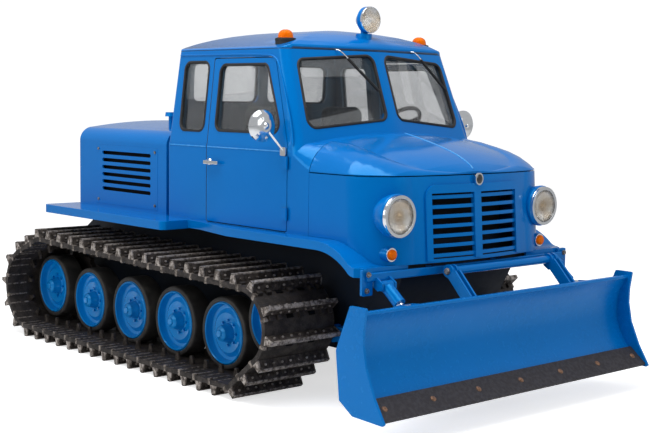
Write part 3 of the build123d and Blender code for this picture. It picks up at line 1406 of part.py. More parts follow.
# ================================================================ lift rams
ram_reach = sqrt((RAM_EYE_X - RAM_PIN_X) ** 2 + (RAM_EYE_Z - RAM_PIN_Z) ** 2)
ram_run = ((RAM_EYE_X - RAM_PIN_X) / ram_reach, (RAM_EYE_Z - RAM_PIN_Z) / ram_reach)
ram_axis = Plane((RAM_PIN_X, -RAM_Y, RAM_PIN_Z), x_dir=(0, 1, 0), z_dir=(ram_run[0], 0, ram_run[1]))
gland = ram_reach - RAM_EYE_R - 12
with BuildPart() as lift_barrel_right:
    with BuildSketch(ram_axis.offset(RAM_EYE_R - 12)):
        Circle(RAM_BARREL_R)
    extrude(amount=gland - RAM_EYE_R + 12)
    with BuildSketch(Plane.XZ.offset(RAM_Y - RAM_EYE_WIDTH / 2)):
        with Locations((RAM_PIN_X, RAM_PIN_Z)):
            Circle(RAM_EYE_R)
    extrude(amount=RAM_EYE_WIDTH)
    with BuildSketch(Plane.XZ.offset(RAM_Y - RAM_EYE_WIDTH / 2)):
        with Locations((RAM_PIN_X, RAM_PIN_Z)):
            Circle(RAM_PIN_R + SEAT_GAP)
    extrude(amount=RAM_EYE_WIDTH, mode=Mode.SUBTRACT)
    with BuildSketch(ram_axis.offset(RAM_EYE_R + 4)):
        Circle(RAM_ROD_R + SEAT_GAP)
    extrude(amount=ram_reach, mode=Mode.SUBTRACT)
with BuildPart() as lift_rod_right:
    with BuildSketch(ram_axis.offset(RAM_EYE_R + 6)):
        Circle(RAM_ROD_R)
    extrude(amount=ram_reach - RAM_EYE_R - 16)
    with BuildSketch(Plane.XZ.offset(RAM_Y - RAM_EYE_WIDTH / 2)):
        with Locations((RAM_EYE_X, RAM_EYE_Z)):
            Circle(RAM_EYE_R)
    extrude(amount=RAM_EYE_WIDTH)
    with BuildSketch(Plane.XZ.offset(RAM_Y - RAM_EYE_WIDTH / 2)):
        with Locations((RAM_EYE_X, RAM_EYE_Z)):
            Circle(RAM_PIN_R + EYE_SLACK)
    extrude(amount=RAM_EYE_WIDTH, mode=Mode.SUBTRACT)
with BuildPart() as lift_barrel_left:
    mirror(lift_barrel_right.part, about=Plane.XZ)
with BuildPart() as lift_rod_left:
    mirror(lift_rod_right.part, about=Plane.XZ)
write(lift_barrel_right.part, "lift_barrel_right")
write(lift_barrel_left.part, "lift_barrel_left")
write(lift_rod_right.part, "lift_rod_right")
write(lift_rod_left.part, "lift_rod_left")
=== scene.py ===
import math

import bmesh
import bpy
from mathutils import Matrix, Vector


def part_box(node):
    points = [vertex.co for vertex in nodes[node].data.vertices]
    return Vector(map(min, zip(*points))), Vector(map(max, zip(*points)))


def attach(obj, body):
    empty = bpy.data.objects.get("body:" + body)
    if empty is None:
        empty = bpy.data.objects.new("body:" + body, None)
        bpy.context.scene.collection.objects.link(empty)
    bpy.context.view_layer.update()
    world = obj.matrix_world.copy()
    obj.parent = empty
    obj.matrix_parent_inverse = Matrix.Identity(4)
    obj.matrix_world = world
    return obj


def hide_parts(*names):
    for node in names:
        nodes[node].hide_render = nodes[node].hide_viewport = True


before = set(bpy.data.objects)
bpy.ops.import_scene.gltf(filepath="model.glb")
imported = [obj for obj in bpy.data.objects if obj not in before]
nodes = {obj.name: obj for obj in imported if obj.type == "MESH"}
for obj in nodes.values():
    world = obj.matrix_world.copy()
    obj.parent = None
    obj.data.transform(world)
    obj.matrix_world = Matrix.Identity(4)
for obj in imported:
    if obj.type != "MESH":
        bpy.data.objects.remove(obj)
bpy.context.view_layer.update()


# ---------------------------------------------------------------- hull and tow hitch
# Welded steel box between the tracks with a jaw hitch behind, in near-black enamel dulled by
# road dust; the near black is painted shade, the deep shadow under the decks and fenders.
# The same enamel, with other values, is the blue on every panel above it.
def new_group(name, inputs, outputs=("Colour", "Roughness", "Height")):
    """A shader group that reads a position and the named inputs; returns it with its inner sockets."""
    group = bpy.data.node_groups.new(name, "ShaderNodeTree")
    kinds = {3: "NodeSocketVector", 4: "NodeSocketColor"}
    for label, value in {"Position": (0.0, 0.0, 0.0), **inputs}.items():
        kind = kinds[len(value)] if isinstance(value, tuple) else "NodeSocketFloat"
        group.interface.new_socket(name=label, in_out="INPUT", socket_type=kind).default_value = value
    for label in outputs:
        kind = "NodeSocketColor" if label == "Colour" else "NodeSocketFloat"
        group.interface.new_socket(name=label, in_out="OUTPUT", socket_type=kind)
    return group, group.nodes.new("NodeGroupInput").outputs, group.nodes.new("NodeGroupOutput").inputs


def add_node(tree, kind, fed, **settings):
    """A shader node with its settings, whose inputs are linked or set; returns its outputs."""
    node = tree.nodes.new(kind)
    for setting, value in settings.items():
        setattr(node, setting, value)
    for at, value in fed.items():
        if isinstance(value, bpy.types.NodeSocket):
            tree.links.new(value, node.inputs[at])
        else:
            node.inputs[at].default_value = value
    return node.outputs


def mix_colour(tree, factor, first, second):
    return add_node(tree, "ShaderNodeMix", {0: factor, 6: first, 7: second}, data_type="RGBA")[2]


def maths(tree, operation, first, second=0.0):
    return add_node(tree, "ShaderNodeMath", {0: first, 1: second}, operation=operation)[0]


def times(tree, first, second):
    return maths(tree, "MULTIPLY", first, second)


def ramp_mask(tree, value, low, high):
    """0 below one value and 1 above the other, with a soft step between them."""
    fed = {"Value": value, "From Min": low, "From Max": high}
    return add_node(tree, "ShaderNodeMapRange", fed, interpolation_type="SMOOTHSTEP")["Result"]


def noise(tree, vector, scale, detail=4.0):
    fed = {"Vector": vector, "Scale": scale, "Detail": detail, "Roughness": 0.55}
    return add_node(tree, "ShaderNodeTexNoise", fed)["Fac"]


def blend(tree, first, share, second):
    """The first value plus a share of the second."""
    return maths(tree, "ADD", first, times(tree, second, share))


def put_out(tree, outlets, colour, roughness, height):
    for label, value in (("Colour", colour), ("Roughness", roughness), ("Height", height)):
        tree.links.new(value, outlets[label])


enamel, enamel_in, enamel_out = new_group(
    "sprayed enamel",
    {
        "Facing": (0.0, 0.0, 1.0),
        "Paint": (0.0, 0.158, 0.520, 1.0),
        "Shade": (0.0, 0.075, 0.330, 1.0),
        "Dust": (0.30, 0.31, 0.32, 1.0),
        "Dust Amount": 0.10,
        "Gloss Loss": 0.24,
    },
)
broad = noise(enamel, enamel_in["Position"], 1.7)
fine = noise(enamel, enamel_in["Position"], 22.0)
peel = noise(enamel, enamel_in["Position"], 260.0, 2.0)
upward = ramp_mask(enamel, add_node(enamel, "ShaderNodeSeparateXYZ", {0: enamel_in["Facing"]})["Z"], 0.2, 1.0)
settled = blend(enamel, 0.5, 0.5, upward)
patchy = ramp_mask(enamel, blend(enamel, times(enamel, broad, 0.65), 0.35, fine), 0.36, 0.68)
dusting = times(enamel, times(enamel, settled, patchy), enamel_in["Dust Amount"])
shaded = mix_colour(enamel, times(enamel, broad, 0.28), enamel_in["Paint"], enamel_in["Shade"])
put_out(
    enamel, enamel_out,
    mix_colour(enamel, dusting, shaded, enamel_in["Dust"]),
    blend(enamel, blend(enamel, enamel_in["Gloss Loss"], 0.10, fine), 0.5, dusting),
    blend(enamel, fine, 0.35, peel),
)


def surface_material(name, group, values, bump=0.0, metallic=0.0, coat=0.0, specular=0.5, tint=None):
    """A material whose colour, roughness and relief come from a group, with its plain values here."""
    material = bpy.data.materials.new(name)
    material.use_nodes = True
    tree = material.node_tree
    shader = tree.nodes["Principled BSDF"].inputs
    shader["Metallic"].default_value = metallic
    shader["Coat Weight"].default_value = coat
    shader["Coat Roughness"].default_value = 0.08
    shader["Specular IOR Level"].default_value = specular
    if tint:
        shader["Specular Tint"].default_value = tint
    made = tree.nodes.new("ShaderNodeGroup")
    made.node_tree = group
    tree.links.new(tree.nodes.new("ShaderNodeTexCoord").outputs["Object"], made.inputs["Position"])
    if "Facing" in made.inputs:
        tree.links.new(tree.nodes.new("ShaderNodeNewGeometry").outputs["Normal"], made.inputs["Facing"])
    for label, value in values.items():
        made.inputs[label].default_value = value
    tree.links.new(made.outputs["Colour"], shader["Base Color"])
    tree.links.new(made.outputs["Roughness"], shader["Roughness"])
    if bump:
        fed = {"Strength": bump, "Distance": 0.002, "Height": made.outputs["Height"]}
        tree.links.new(add_node(tree, "ShaderNodeBump", fed)["Normal"], shader["Normal"])
    return material


def round_edges(piece, width, segments, degrees):
    """A bevel modifier on the edges that turn by more than an angle."""
    bevel = piece.modifiers.new("edges", "BEVEL")
    bevel.width = width
    bevel.segments = segments
    bevel.limit_method = "ANGLE"
    bevel.angle_limit = math.radians(degrees)
    return bevel


def dress(names, material, edge=0.0, smooth=True):
    """Gives CAD nodes their finish, and softens their edges by modifiers alone."""
    for name in names:
        node = nodes[name]
        for at in range(len(node.data.materials)):
            node.data.materials[at] = material
        if not node.data.materials:
            node.data.materials.append(material)
        if smooth:
            node.data.polygons.foreach_set("use_smooth", [True] * len(node.data.polygons))
        weld = node.modifiers.new("weld", "WELD")
        weld.merge_threshold = 0.00002
        plain = node.modifiers.new("flat faces", "DECIMATE")
        plain.decimate_type = "DISSOLVE"
        plain.angle_limit = math.radians(0.4)
        if edge:
            round_edges(node, edge, 2, 34).harden_normals = True
        weighted = node.modifiers.new("normals", "WEIGHTED_NORMAL")
        weighted.keep_sharp = False
        weighted.weight = 60


# Near-black enamel as painted shade, with real road dust in patches on top faces.
shade_black_hull_paint = surface_material(
    "chassis enamel in painted-shade black", enamel,
    {
        "Paint": (0.002, 0.007, 0.016, 1.0), "Shade": (0.001, 0.002, 0.005, 1.0),
        "Dust": (0.035, 0.030, 0.026, 1.0), "Dust Amount": 0.4, "Gloss Loss": 0.45,
    },
    bump=0.10, specular=0.2,
)
body_blue_gloss = (0.0, 0.55, 1.0, 1.0)         # the tint of a highlight on the blue
body_paint = surface_material(
    "body enamel", enamel, {"Dust": (0.0, 0.19, 0.46, 1.0), "Dust Amount": 0.05, "Gloss Loss": 0.10},
    bump=0.02, coat=0.05, specular=0.65, tint=body_blue_gloss,
)
dress(["hull", "tow_hitch", "suspension_arms"], shade_black_hull_paint, edge=0.004)


# ---------------------------------------------------------------- tracks
# Two fixed loops of cast plates with tall cleats, worn bright along the edges that bite.
# Chamfered wear bars, bolt heads, link eyes, shoe lips and more guide horns go on each shoe,
# with thin near-black strips between the links as painted shade in the gaps.
steel, steel_in, steel_out = new_group(
    "worn steel",
    {"Metal": (0.10, 0.085, 0.075, 1.0), "Grime": (0.030, 0.022, 0.017, 1.0), "Wear": 0.45, "Scale": 14.0},
)
spread = add_node(
    steel, "ShaderNodeVectorMath", {0: steel_in["Position"], "Scale": steel_in["Scale"]}, operation="SCALE",
)[0]
blotch = noise(steel, spread, 1.0, 5.0)
grit = noise(steel, spread, 11.0, 3.0)
patch = blend(steel, times(steel, blotch, 0.6), 0.4, grit)
rubbed = times(steel, ramp_mask(steel, patch, 0.42, 0.60), steel_in["Wear"])
put_out(
    steel, steel_out,
    mix_colour(steel, rubbed, steel_in["Grime"], steel_in["Metal"]),
    blend(steel, 0.72, -0.35, rubbed),
    blend(steel, blotch, 0.6, grit),
)


def steel_finish(name, metal, grime, wear, scale, bump, metallic):
    """Bare or rusty steel: its rubbed and its dirty colour, how far it is rubbed, and the blotch scale."""
    values = {"Metal": (*metal, 1.0), "Grime": (*grime, 1.0), "Wear": wear, "Scale": scale}
    return surface_material(name, steel, values, bump=bump, metallic=metallic)


track_steel = steel_finish("track casting", (0.070, 0.056, 0.048), (0.014, 0.011, 0.010), 0.5, 14.0, 0.5, 0.3)
cleat_steel = steel_finish("cleat casting", (0.100, 0.082, 0.070), (0.016, 0.012, 0.010), 0.7, 26.0, 0.5, 0.4)
worn_steel = steel_finish("rubbed cleat edge", (0.52, 0.47, 0.43), (0.080, 0.064, 0.055), 0.9, 34.0, 0.4, 0.6)
lip_steel = steel_finish("rubbed shoe edge", (0.38, 0.33, 0.29), (0.045, 0.036, 0.030), 0.85, 30.0, 0.4, 0.5)
# Near-black strips that paint the shade in the gaps between track links.
gap_shade_black = surface_material(
    "painted gap shade", steel, {"Metal": (0.006, 0.005, 0.005, 1.0), "Grime": (0.002, 0.002, 0.002, 1.0)},
    specular=0.1,
)
dress(["track_left", "track_right", "return_rollers", "sprockets"], track_steel, edge=0.003)

cleat_height = 0.088
cleat_foot, cleat_tip = 0.0330, 0.0142          # half widths below and above
ground_gap = 0.0003                             # least height of any cleat corner
shoe_count, bolts_across = 44, 8
track_inner, track_outer = 0.650, 1.270
rear_centre, rear_radius = (-2.035, 0.418), 0.418
lift_centre, lift_radius = (-1.800, 0.762), 0.192
front_centre, front_radius = (0.992, 0.530), 0.355
ground_corner = (0.900, 0.0)


def on_circle(centre, radius, angle):
    return centre[0] + radius * math.cos(angle), centre[1] + radius * math.sin(angle)


def tangent_angle(first, first_radius, second, second_radius):
    """Angle of the outward normal of the line that lies on two circles."""
    span = math.dist(first, second)
    slope = math.atan2(second[1] - first[1], second[0] - first[0])
    return slope + math.acos((first_radius - second_radius) / span)


climb = tangent_angle(rear_centre, rear_radius, lift_centre, lift_radius)
top = tangent_angle(lift_centre, lift_radius, front_centre, front_radius)
ramp = tangent_angle(front_centre, front_radius, ground_corner, 0.0)
inner = front_radius - cleat_height
foot_x = front_centre[0] + (inner - (cleat_height - front_centre[1]) * math.sin(ramp)) / math.cos(ramp)
# each run: its kind, a circle's centre or a line's start, the radius or the line's end, start angle, length
loop_runs = []
run_end = None
for centre, radius, start, end in (
    (rear_centre, rear_radius - cleat_height, math.radians(270), climb),
    (lift_centre, lift_radius - cleat_height, climb, top),
    (front_centre, inner, top, ramp),
):
    if run_end:
        run_start = on_circle(centre, radius, start)
        loop_runs.append(("line", run_end, run_start, None, math.dist(run_end, run_start)))
    loop_runs.append(("arc", centre, radius, start, (start - end) * radius))
    run_end = on_circle(centre, radius, end)
for run_start, run_end in (
    (run_end, (foot_x, cleat_height)), ((foot_x, cleat_height), (rear_centre[0], cleat_height)),
):
    loop_runs.append(("line", run_start, run_end, None, math.dist(run_start, run_end)))
loop_length = sum(run[-1] for run in loop_runs)


def shoe_frame(distance):
    """Matrix on the pitch line: local X runs along the track, local Z points out of the loop."""
    for kind, first, second, start, length in loop_runs:
        if distance > length:
            distance -= length
            continue
        if kind == "arc":
            angle = start - distance / second
            x, z = on_circle(first, second, angle)
            ahead = angle - math.pi / 2
        else:
            share = distance / length
            x = first[0] + (second[0] - first[0]) * share
            z = first[1] + (second[1] - first[1]) * share
            ahead = math.atan2(second[1] - first[1], second[0] - first[0])
        break
    return Matrix.Translation((x, 0.0, z)) @ Matrix.Rotation(-ahead, 4, "Y")


def bar_between(mesh, low, high):
    """A box in a bmesh between two corners; returns its vertices."""
    made = bmesh.ops.create_cube(mesh, size=1.0)["verts"]
    bmesh.ops.scale(mesh, verts=made, vec=[b - a for a, b in zip(low, high)])
    bmesh.ops.translate(mesh, verts=made, vec=[(a + b) / 2 for a, b in zip(low, high)])
    return made


def side_bar(mesh, place, side, low, high):
    """A box given for the left side, mirrored to the right for side -1, and put at a place."""
    near, far = sorted((side * low[1], side * high[1]))
    made = bar_between(mesh, (low[0], near, low[2]), (high[0], far, high[2]))
    bmesh.ops.transform(mesh, matrix=place, verts=made)
    return made


def stub(mesh, place, sides, foot, head, height):
    """A short cone or cylinder centred on a place, standing along its local Z."""
    bmesh.ops.create_cone(
        mesh, cap_ends=True, segments=sides, radius1=foot, radius2=head, depth=height, matrix=place,
    )


def at_place(x, y, z, degrees=0, axis="Z"):
    return Matrix.Translation((x, y, z)) @ Matrix.Rotation(math.radians(degrees), 4, axis)


def new_object(name, mesh, material):
    """An object at the origin, made from a bmesh that is then freed."""
    data = bpy.data.meshes.new(name)
    mesh.to_mesh(data)
    mesh.free()
    data.materials.append(material)
    made = bpy.data.objects.new(name, data)
    bpy.context.scene.collection.objects.link(made)
    return made


def make_piece(name, mesh, material, body, smooth=False, bevel=0.0, sharp=30):
    """Turns a bmesh into a finished piece that rides on a CAD body."""
    piece = new_object(name, mesh, material)
    if smooth:
        piece.data.polygons.foreach_set("use_smooth", [True] * len(piece.data.polygons))
        piece.data.set_sharp_from_angle(angle=math.radians(sharp))
    if bevel:
        round_edges(piece, bevel, 2, 30)
    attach(piece, body)
    return piece


cleats, tips, bolts, horns, links, gap_shades, lips = (bmesh.new() for _ in range(7))
end_low, end_high = track_inner - 0.0016, track_outer + 0.0010
horn_places = ((0.790, 0.0), (1.062, 0.0012))   # across the track, and how far the horn is swollen
# low and high corners on one shoe, as x, y, z
lip_bars = (
    ((0.046, 1.090, -0.0225), (0.060, track_outer - 0.001, -0.014)),
    ((0.038, track_outer - 0.030, -0.0260), (0.068, track_outer + 0.0006, 0.022)),
    ((-0.034, 1.090, -0.0205), (-0.020, track_outer - 0.001, -0.014)),
)
for shoe in range(shoe_count):
    place = shoe_frame(shoe * loop_length / shoe_count)
    for side in (-1, 1):
        for mesh, proud, foot_z, foot, low_y, high_y in (
            (cleats, 0.0004, 0.016, cleat_foot, track_inner - 0.0010, track_outer + 0.0004),
            (tips, 0.0010, cleat_height - 0.010, 0.0172, end_low, end_high),
            (tips, 0.0006, 0.018, cleat_foot + 0.0008, track_outer - 0.012, end_high),
            (tips, 0.0006, 0.018, cleat_foot + 0.0008, end_low, track_inner + 0.012),
        ):
            bar = side_bar(
                mesh, Matrix(), side, (-foot, low_y, foot_z), (foot, high_y, cleat_height + proud),
            )
            for vert in bar:
                if vert.co.z > cleat_height - 0.005:
                    vert.co.x = math.copysign(cleat_tip + proud, vert.co.x)
            bmesh.ops.transform(mesh, matrix=place, verts=bar)
            for vert in bar:
                vert.co.z = max(vert.co.z, ground_gap)
        for row in range(bolts_across):
            share = row / (bolts_across - 1)
            across = side * (track_inner + 0.055 + share * (track_outer - track_inner - 0.11))
            for face in (-1, 1):
                stub(
                    bolts, place @ at_place(face * 0.0270, across, 0.052, face * 75, "Y"),
                    6, 0.0095, 0.0080, 0.010,
                )
        for across, swell in horn_places:
            horn = side_bar(
                horns, Matrix(), side, (-0.028 - swell, across - 0.011 - swell, -0.079 - swell),
                (0.028 + swell, across + 0.011 + swell, -0.012),
            )
            for vert in horn:
                if vert.co.z < -0.05:
                    vert.co.x *= 0.46
            bmesh.ops.transform(horns, matrix=place, verts=horn)
        for across in (0.690, 0.760, 0.950, 1.140, 1.215):
            side_bar(links, place, side, (0.024, across - 0.021, -0.010), (0.066, across + 0.021, 0.034))
        for low, high in lip_bars:
            side_bar(lips, place, side, low, high)
        # Painted shade: a thin near-black strip for each gap between links.
        for across in (0.850, 1.045):
            side_bar(gap_shades, place, side, (0.030, across - 0.028, 0.0150), (0.062, across + 0.028, 0.0182))
for name, mesh, material, bevel in (
    ("cleat_bars", cleats, cleat_steel, 0.0035), ("cleat_edges", tips, worn_steel, 0.0015),
    ("cleat_bolts", bolts, worn_steel, 0.0), ("guide_horns", horns, cleat_steel, 0.005),
    ("link_eyes", links, track_steel, 0.006), ("shoe_lips", lips, lip_steel, 0.003),
    ("link_gap_shades", gap_shades, gap_shade_black, 0.0),
):
    make_piece(name, mesh, material, "machine", bevel=bevel)


# ---------------------------------------------------------------- wheels
# Dished discs pressed from plate, in body blue, with a bolted hub cap; solid rubber tyres.
# Smooth moulded tyres take the place of the faceted ones; the pressing goes over the disc.
rubber, rubber_in, rubber_out = new_group(
    "scuffed rubber",
    {"Fresh": (0.020, 0.019, 0.019, 1.0), "Scuffed": (0.060, 0.055, 0.050, 1.0), "Scuffing": 0.6},
)
scuffs = times(
    rubber, ramp_mask(rubber, noise(rubber, rubber_in["Position"], 9.0, 6.0), 0.42, 0.66),
    rubber_in["Scuffing"],
)
put_out(
    rubber, rubber_out,
    mix_colour(rubber, scuffs, rubber_in["Fresh"], rubber_in["Scuffed"]),
    blend(rubber, 0.62, 0.15, scuffs),
    noise(rubber, rubber_in["Position"], 210.0, 2.0),
)
tyre_rubber = surface_material("tyre rubber", rubber, {}, bump=0.25)
wheel_paint = surface_material(
    "wheel enamel", enamel,
    {
        "Paint": (0.0, 0.225, 0.63, 1.0), "Dust": (0.06, 0.10, 0.14, 1.0), "Dust Amount": 0.20,
        "Gloss Loss": 0.12,
    },
    bump=0.10, coat=0.20, specular=0.6, tint=(0.1, 0.6, 1.0, 1.0),
)
dress(["wheel_discs"], wheel_paint, edge=0.003)

# x, z and radius of the four wheels on the ground, the raised rear wheel and the front idler
wheel_places = [(0.455 - step * 0.6225, 0.3734, 0.268) for step in range(4)]
wheel_places += [(-2.035, 0.418, 0.268), (0.992, 0.530, 0.248)]
wheel_face = 1.000                              # how far out the tyres' outer faces stand
tyre_depth, tyre_width = 0.036, 0.170
nut_count, nut_ring, nut_sink = 8, 0.092, -0.042


def spin_profile(target, place, profile, turns, close=False):
    """Spins points of (radius, height) about local Y and adds the skin to a mesh, facing along +Y."""
    made = bmesh.new()
    verts = [made.verts.new((radius, height, 0.0)) for radius, height in profile]
    ahead = verts[1:] + verts[:1] if close else verts[1:]
    edges = [made.edges.new(pair) for pair in zip(verts, ahead)]
    bmesh.ops.spin(
        made, geom=verts + edges, cent=(0, 0, 0), axis=(0, 1, 0), angle=math.tau, steps=turns, use_merge=True,
    )
    bmesh.ops.remove_doubles(made, verts=made.verts, dist=0.0001)
    bmesh.ops.recalc_face_normals(made, faces=made.faces)
    if sum(face.normal.y * face.calc_area() for face in made.faces) < -0.0001:
        bmesh.ops.reverse_faces(made, faces=made.faces)
    bmesh.ops.transform(made, matrix=place, verts=made.verts)
    data = bpy.data.meshes.new("skin")
    made.to_mesh(data)
    target.from_mesh(data)
    made.free()
    bpy.data.meshes.remove(data)


presses, treads = bmesh.new(), bmesh.new()
for x, z, radius in wheel_places:
    rim = radius - tyre_depth
    for side in (-1, 1):
        place = at_place(x, side * wheel_face, z, 0 if side > 0 else 180)
        spin_profile(presses, place, [
            (rim - 0.004, -0.003), (rim - 0.007, 0.002), (rim - 0.013, 0.004), (rim - 0.018, -0.002),
            (rim - 0.022, -0.030), (rim - 0.030, -0.050), (rim - 0.052, -0.056), (rim - 0.072, -0.046),
            (rim - 0.084, -0.036), (rim - 0.098, -0.040), (0.084, -0.052), (0.072, -0.046), (0.068, -0.022),
            (0.064, -0.016), (0.060, 0.010), (0.056, 0.022), (0.046, 0.030), (0.030, 0.036),
            (0.028, 0.042), (0.022, 0.046), (0.0, 0.047),
        ], 40)
        for at in range(nut_count):
            angle = math.tau * at / nut_count
            spot = at_place(nut_ring * math.cos(angle), nut_sink, nut_ring * math.sin(angle), 90, "X")
            stub(presses, place @ spot, 6, 0.009, 0.010, 0.018)
        spin_profile(treads, place, [
            (rim, -0.010), (rim + 0.003, -0.001), (rim + 0.012, 0.0), (rim + 0.013, -0.002),
            (rim + 0.015, -0.002), (rim + 0.016, 0.0), (radius - 0.010, -0.002), (radius - 0.003, -0.008),
            (radius, -0.020), (radius, 0.020 - tyre_width), (radius - 0.004, 0.006 - tyre_width),
            (radius - 0.012, -tyre_width), (rim + 0.002, -tyre_width), (rim, 0.010 - tyre_width),
        ], 56, close=True)
make_piece("wheel_pressings", presses, wheel_paint, "machine", smooth=True)
moulded_tyres = make_piece(
    "moulded_tyres", treads, tyre_rubber, "machine", smooth=True, sharp=50,
)
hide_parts("tyres")


# ---------------------------------------------------------------- decks and fenders
# Folded sheet steel in body blue: a wide rear deck and a long fender down each side.
# Folded edges are softened; two bolts with washers hold the plate at each fender's front end.
dress(["rear_deck", "fenders"], body_paint, edge=0.003)
bolt_steel = steel_finish("zinc bolt steel", (0.42, 0.40, 0.38), (0.10, 0.09, 0.08), 0.9, 60.0, 0.2, 0.85)
fender_bolts = bmesh.new()
bolt_size = 0.014               # half width of the head, and height of washer and head together
for side in (-1, 1):
    for face_x, level in ((1.9555, 0.872), (1.9700, 0.978)):
        # washer, then hexagon head: sides, foot and head radius, middle and height as shares of the size
        for sides, foot, head, middle, height in ((16, 1.35, 1.30, 0.125, 0.25), (6, 1.0, 0.94, 0.625, 0.75)):
            place = at_place(face_x + bolt_size * middle, side * 0.990, level, 90, "Y")
            stub(fender_bolts, place, sides, bolt_size * foot, bolt_size * head, bolt_size * height)
make_piece("fender_bolts", fender_bolts, bolt_steel, "machine")


# ---------------------------------------------------------------- rear body
# Closed engine-oil and tool housing behind the cab: crowned top, louvred side panels.
# The panels sit in shallow pockets, with a near-black sheet behind the louvres as painted
# shade in the slots, and hold by a quarter-turn stud in every corner.
dress(["rear_body"], body_paint, edge=0.006)
dress(["louvre_panels"], body_paint, edge=0.003)
# Near-black sheet behind the louvres: painted shade inside the slots.
louvre_shade_black = surface_material(
    "louvre painted shade", enamel,
    {
        "Paint": (0.003, 0.003, 0.004, 1.0), "Shade": (0.001, 0.001, 0.002, 1.0),
        "Dust": (0.02, 0.02, 0.02, 1.0), "Dust Amount": 0.2, "Gloss Loss": 0.6,
    },
    specular=0.1,
)
stud_y, shade_sheet_y, shade_sheet_half = 0.8545, 0.8020, 0.0012
studs, shade_sheets = bmesh.new(), bmesh.new()
for side in (-1, 1):
    for x in (-1.505, -0.655):
        for z in (1.215, 1.640):
            stub(studs, at_place(x, side * stud_y, z, 90 * side, "X"), 14, 0.012, 0.009, 0.008)
    side_bar(
        shade_sheets, Matrix(), side, (-1.500, shade_sheet_y - shade_sheet_half, 1.232), (-0.660, shade_sheet_y + shade_sheet_half, 1.622),
    )
make_piece("panel_studs", studs, bolt_steel, "machine")
make_piece("louvre_shade_sheets", shade_sheets, louvre_shade_black, "machine")


# ---------------------------------------------------------------- cab shell, doors and roof
# Welded cab of pressed sheet, blue outside and slate grey inside; doors on outside hinges.
# The inside is told from the outside by which way a face looks from the middle of the cab.
lined, lined_in, lined_out = new_group(
    "lined cab panel", {"Facing": (0.0, 0.0, 1.0), "Middle": (0.35, 0.0, 1.75)}, outputs=("Inside",),
)
from_middle = add_node(
    lined, "ShaderNodeVectorMath", {0: lined_in["Position"], 1: lined_in["Middle"]}, operation="SUBTRACT",
)[0]
outward = add_node(
    lined, "ShaderNodeVectorMath", {0: from_middle, 1: lined_in["Facing"]}, operation="DOT_PRODUCT",
)["Value"]
lined.links.new(ramp_mask(lined, times(lined, outward, -1.0), -0.085, -0.07), lined_out["Inside"])

cab_paint = surface_material(
    "cab enamel", enamel, {"Dust": (0.0, 0.19, 0.46, 1.0), "Dust Amount": 0.04, "Gloss Loss": 0.08},
    bump=0.02, coat=0.05, specular=0.65, tint=body_blue_gloss,
)
tree = cab_paint.node_tree
base_colour = tree.nodes["Principled BSDF"].inputs["Base Color"]
lining = tree.nodes.new("ShaderNodeGroup")
lining.node_tree = lined
tree.links.new(tree.nodes["Texture Coordinate"].outputs["Object"], lining.inputs["Position"])
tree.links.new(tree.nodes["Geometry"].outputs["Normal"], lining.inputs["Facing"])
outside_blue = base_colour.links[0].from_socket
slate_grey = (0.105, 0.140, 0.180, 1.0)
tree.links.new(mix_colour(tree, lining.outputs["Inside"], outside_blue, slate_grey), base_colour)
dress(["cab_shell", "door_right", "door_left"], cab_paint, edge=0.004)
dress(["roof"], cab_paint)


# ---------------------------------------------------------------- window panes and seals
# Flat panes of clear safety glass, each held in a black rubber seal pressed over the cut.
# Every seal is made from its pane's outer face, widened, given thickness and rounded.
seal_rubber = surface_material(
    "window seal rubber", rubber, {"Fresh": (0.006, 0.006, 0.007, 1.0), "Scuffing": 0.25}, bump=0.1,
)
smear, smear_in, smear_out = new_group(
    "smeared glass", {"Tint": (0.84, 0.88, 0.89, 1.0), "Film": (0.62, 0.66, 0.68, 1.0)},
)
wiped = noise(smear, smear_in["Position"], 3.5, 5.0)
film = ramp_mask(smear, wiped, 0.45, 0.75)
put_out(
    smear, smear_out, mix_colour(smear, film, smear_in["Tint"], smear_in["Film"]),
    blend(smear, 0.015, 0.06, film), wiped,
)


def set_shader(material, values):
    """Plain values on the material's own shader, by the names of its inputs."""
    for label, value in values.items():
        material.node_tree.nodes["Principled BSDF"].inputs[label].default_value = value


pane_glass = surface_material("window glass", smear, {})
set_shader(pane_glass, {"Transmission Weight": 1.0, "IOR": 1.45, "Alpha": 0.32})
dress(["cab_panes", "door_pane_right", "door_pane_left"], pane_glass, smooth=False)

cab_middle = Vector((0.35, 0.0, 1.95))
smallest_pane = 0.04                            # square metres; a pane's edge faces are all smaller
seal_lip, seal_width, seal_depth = 0.010, 0.021, 0.028
for pane, body in (
    ("cab_panes", "machine"), ("door_pane_right", "door_right"), ("door_pane_left", "door_left"),
):
    seal = bmesh.new()
    seal.from_mesh(nodes[pane].data)
    bmesh.ops.remove_doubles(seal, verts=seal.verts, dist=0.0001)
    bmesh.ops.dissolve_limit(seal, angle_limit=math.radians(3), verts=seal.verts, edges=seal.edges)
    inner_faces = [
        face for face in seal.faces
        if face.calc_area() < smallest_pane or face.normal.dot(face.calc_center_median() - cab_middle) < 0
    ]
    bmesh.ops.delete(seal, geom=inner_faces, context="FACES")
    lip = bmesh.ops.inset_region(
        seal, faces=list(seal.faces), thickness=-seal_lip, use_boundary=True, use_even_offset=True,
    )["faces"]
    bmesh.ops.delete(seal, geom=lip, context="FACES")
    opened = list(seal.faces)
    bmesh.ops.inset_region(seal, faces=opened, thickness=seal_width, use_boundary=True, use_even_offset=True)
    bmesh.ops.delete(seal, geom=opened, context="FACES")
    gasket = make_piece(pane + "_seal", seal, seal_rubber, body, smooth=True, sharp=60)
    thick = gasket.modifiers.new("rubber thickness", "SOLIDIFY")
    thick.thickness = seal_depth
    thick.offset = 0.85
    round_edges(gasket, 0.009, 3, 60)
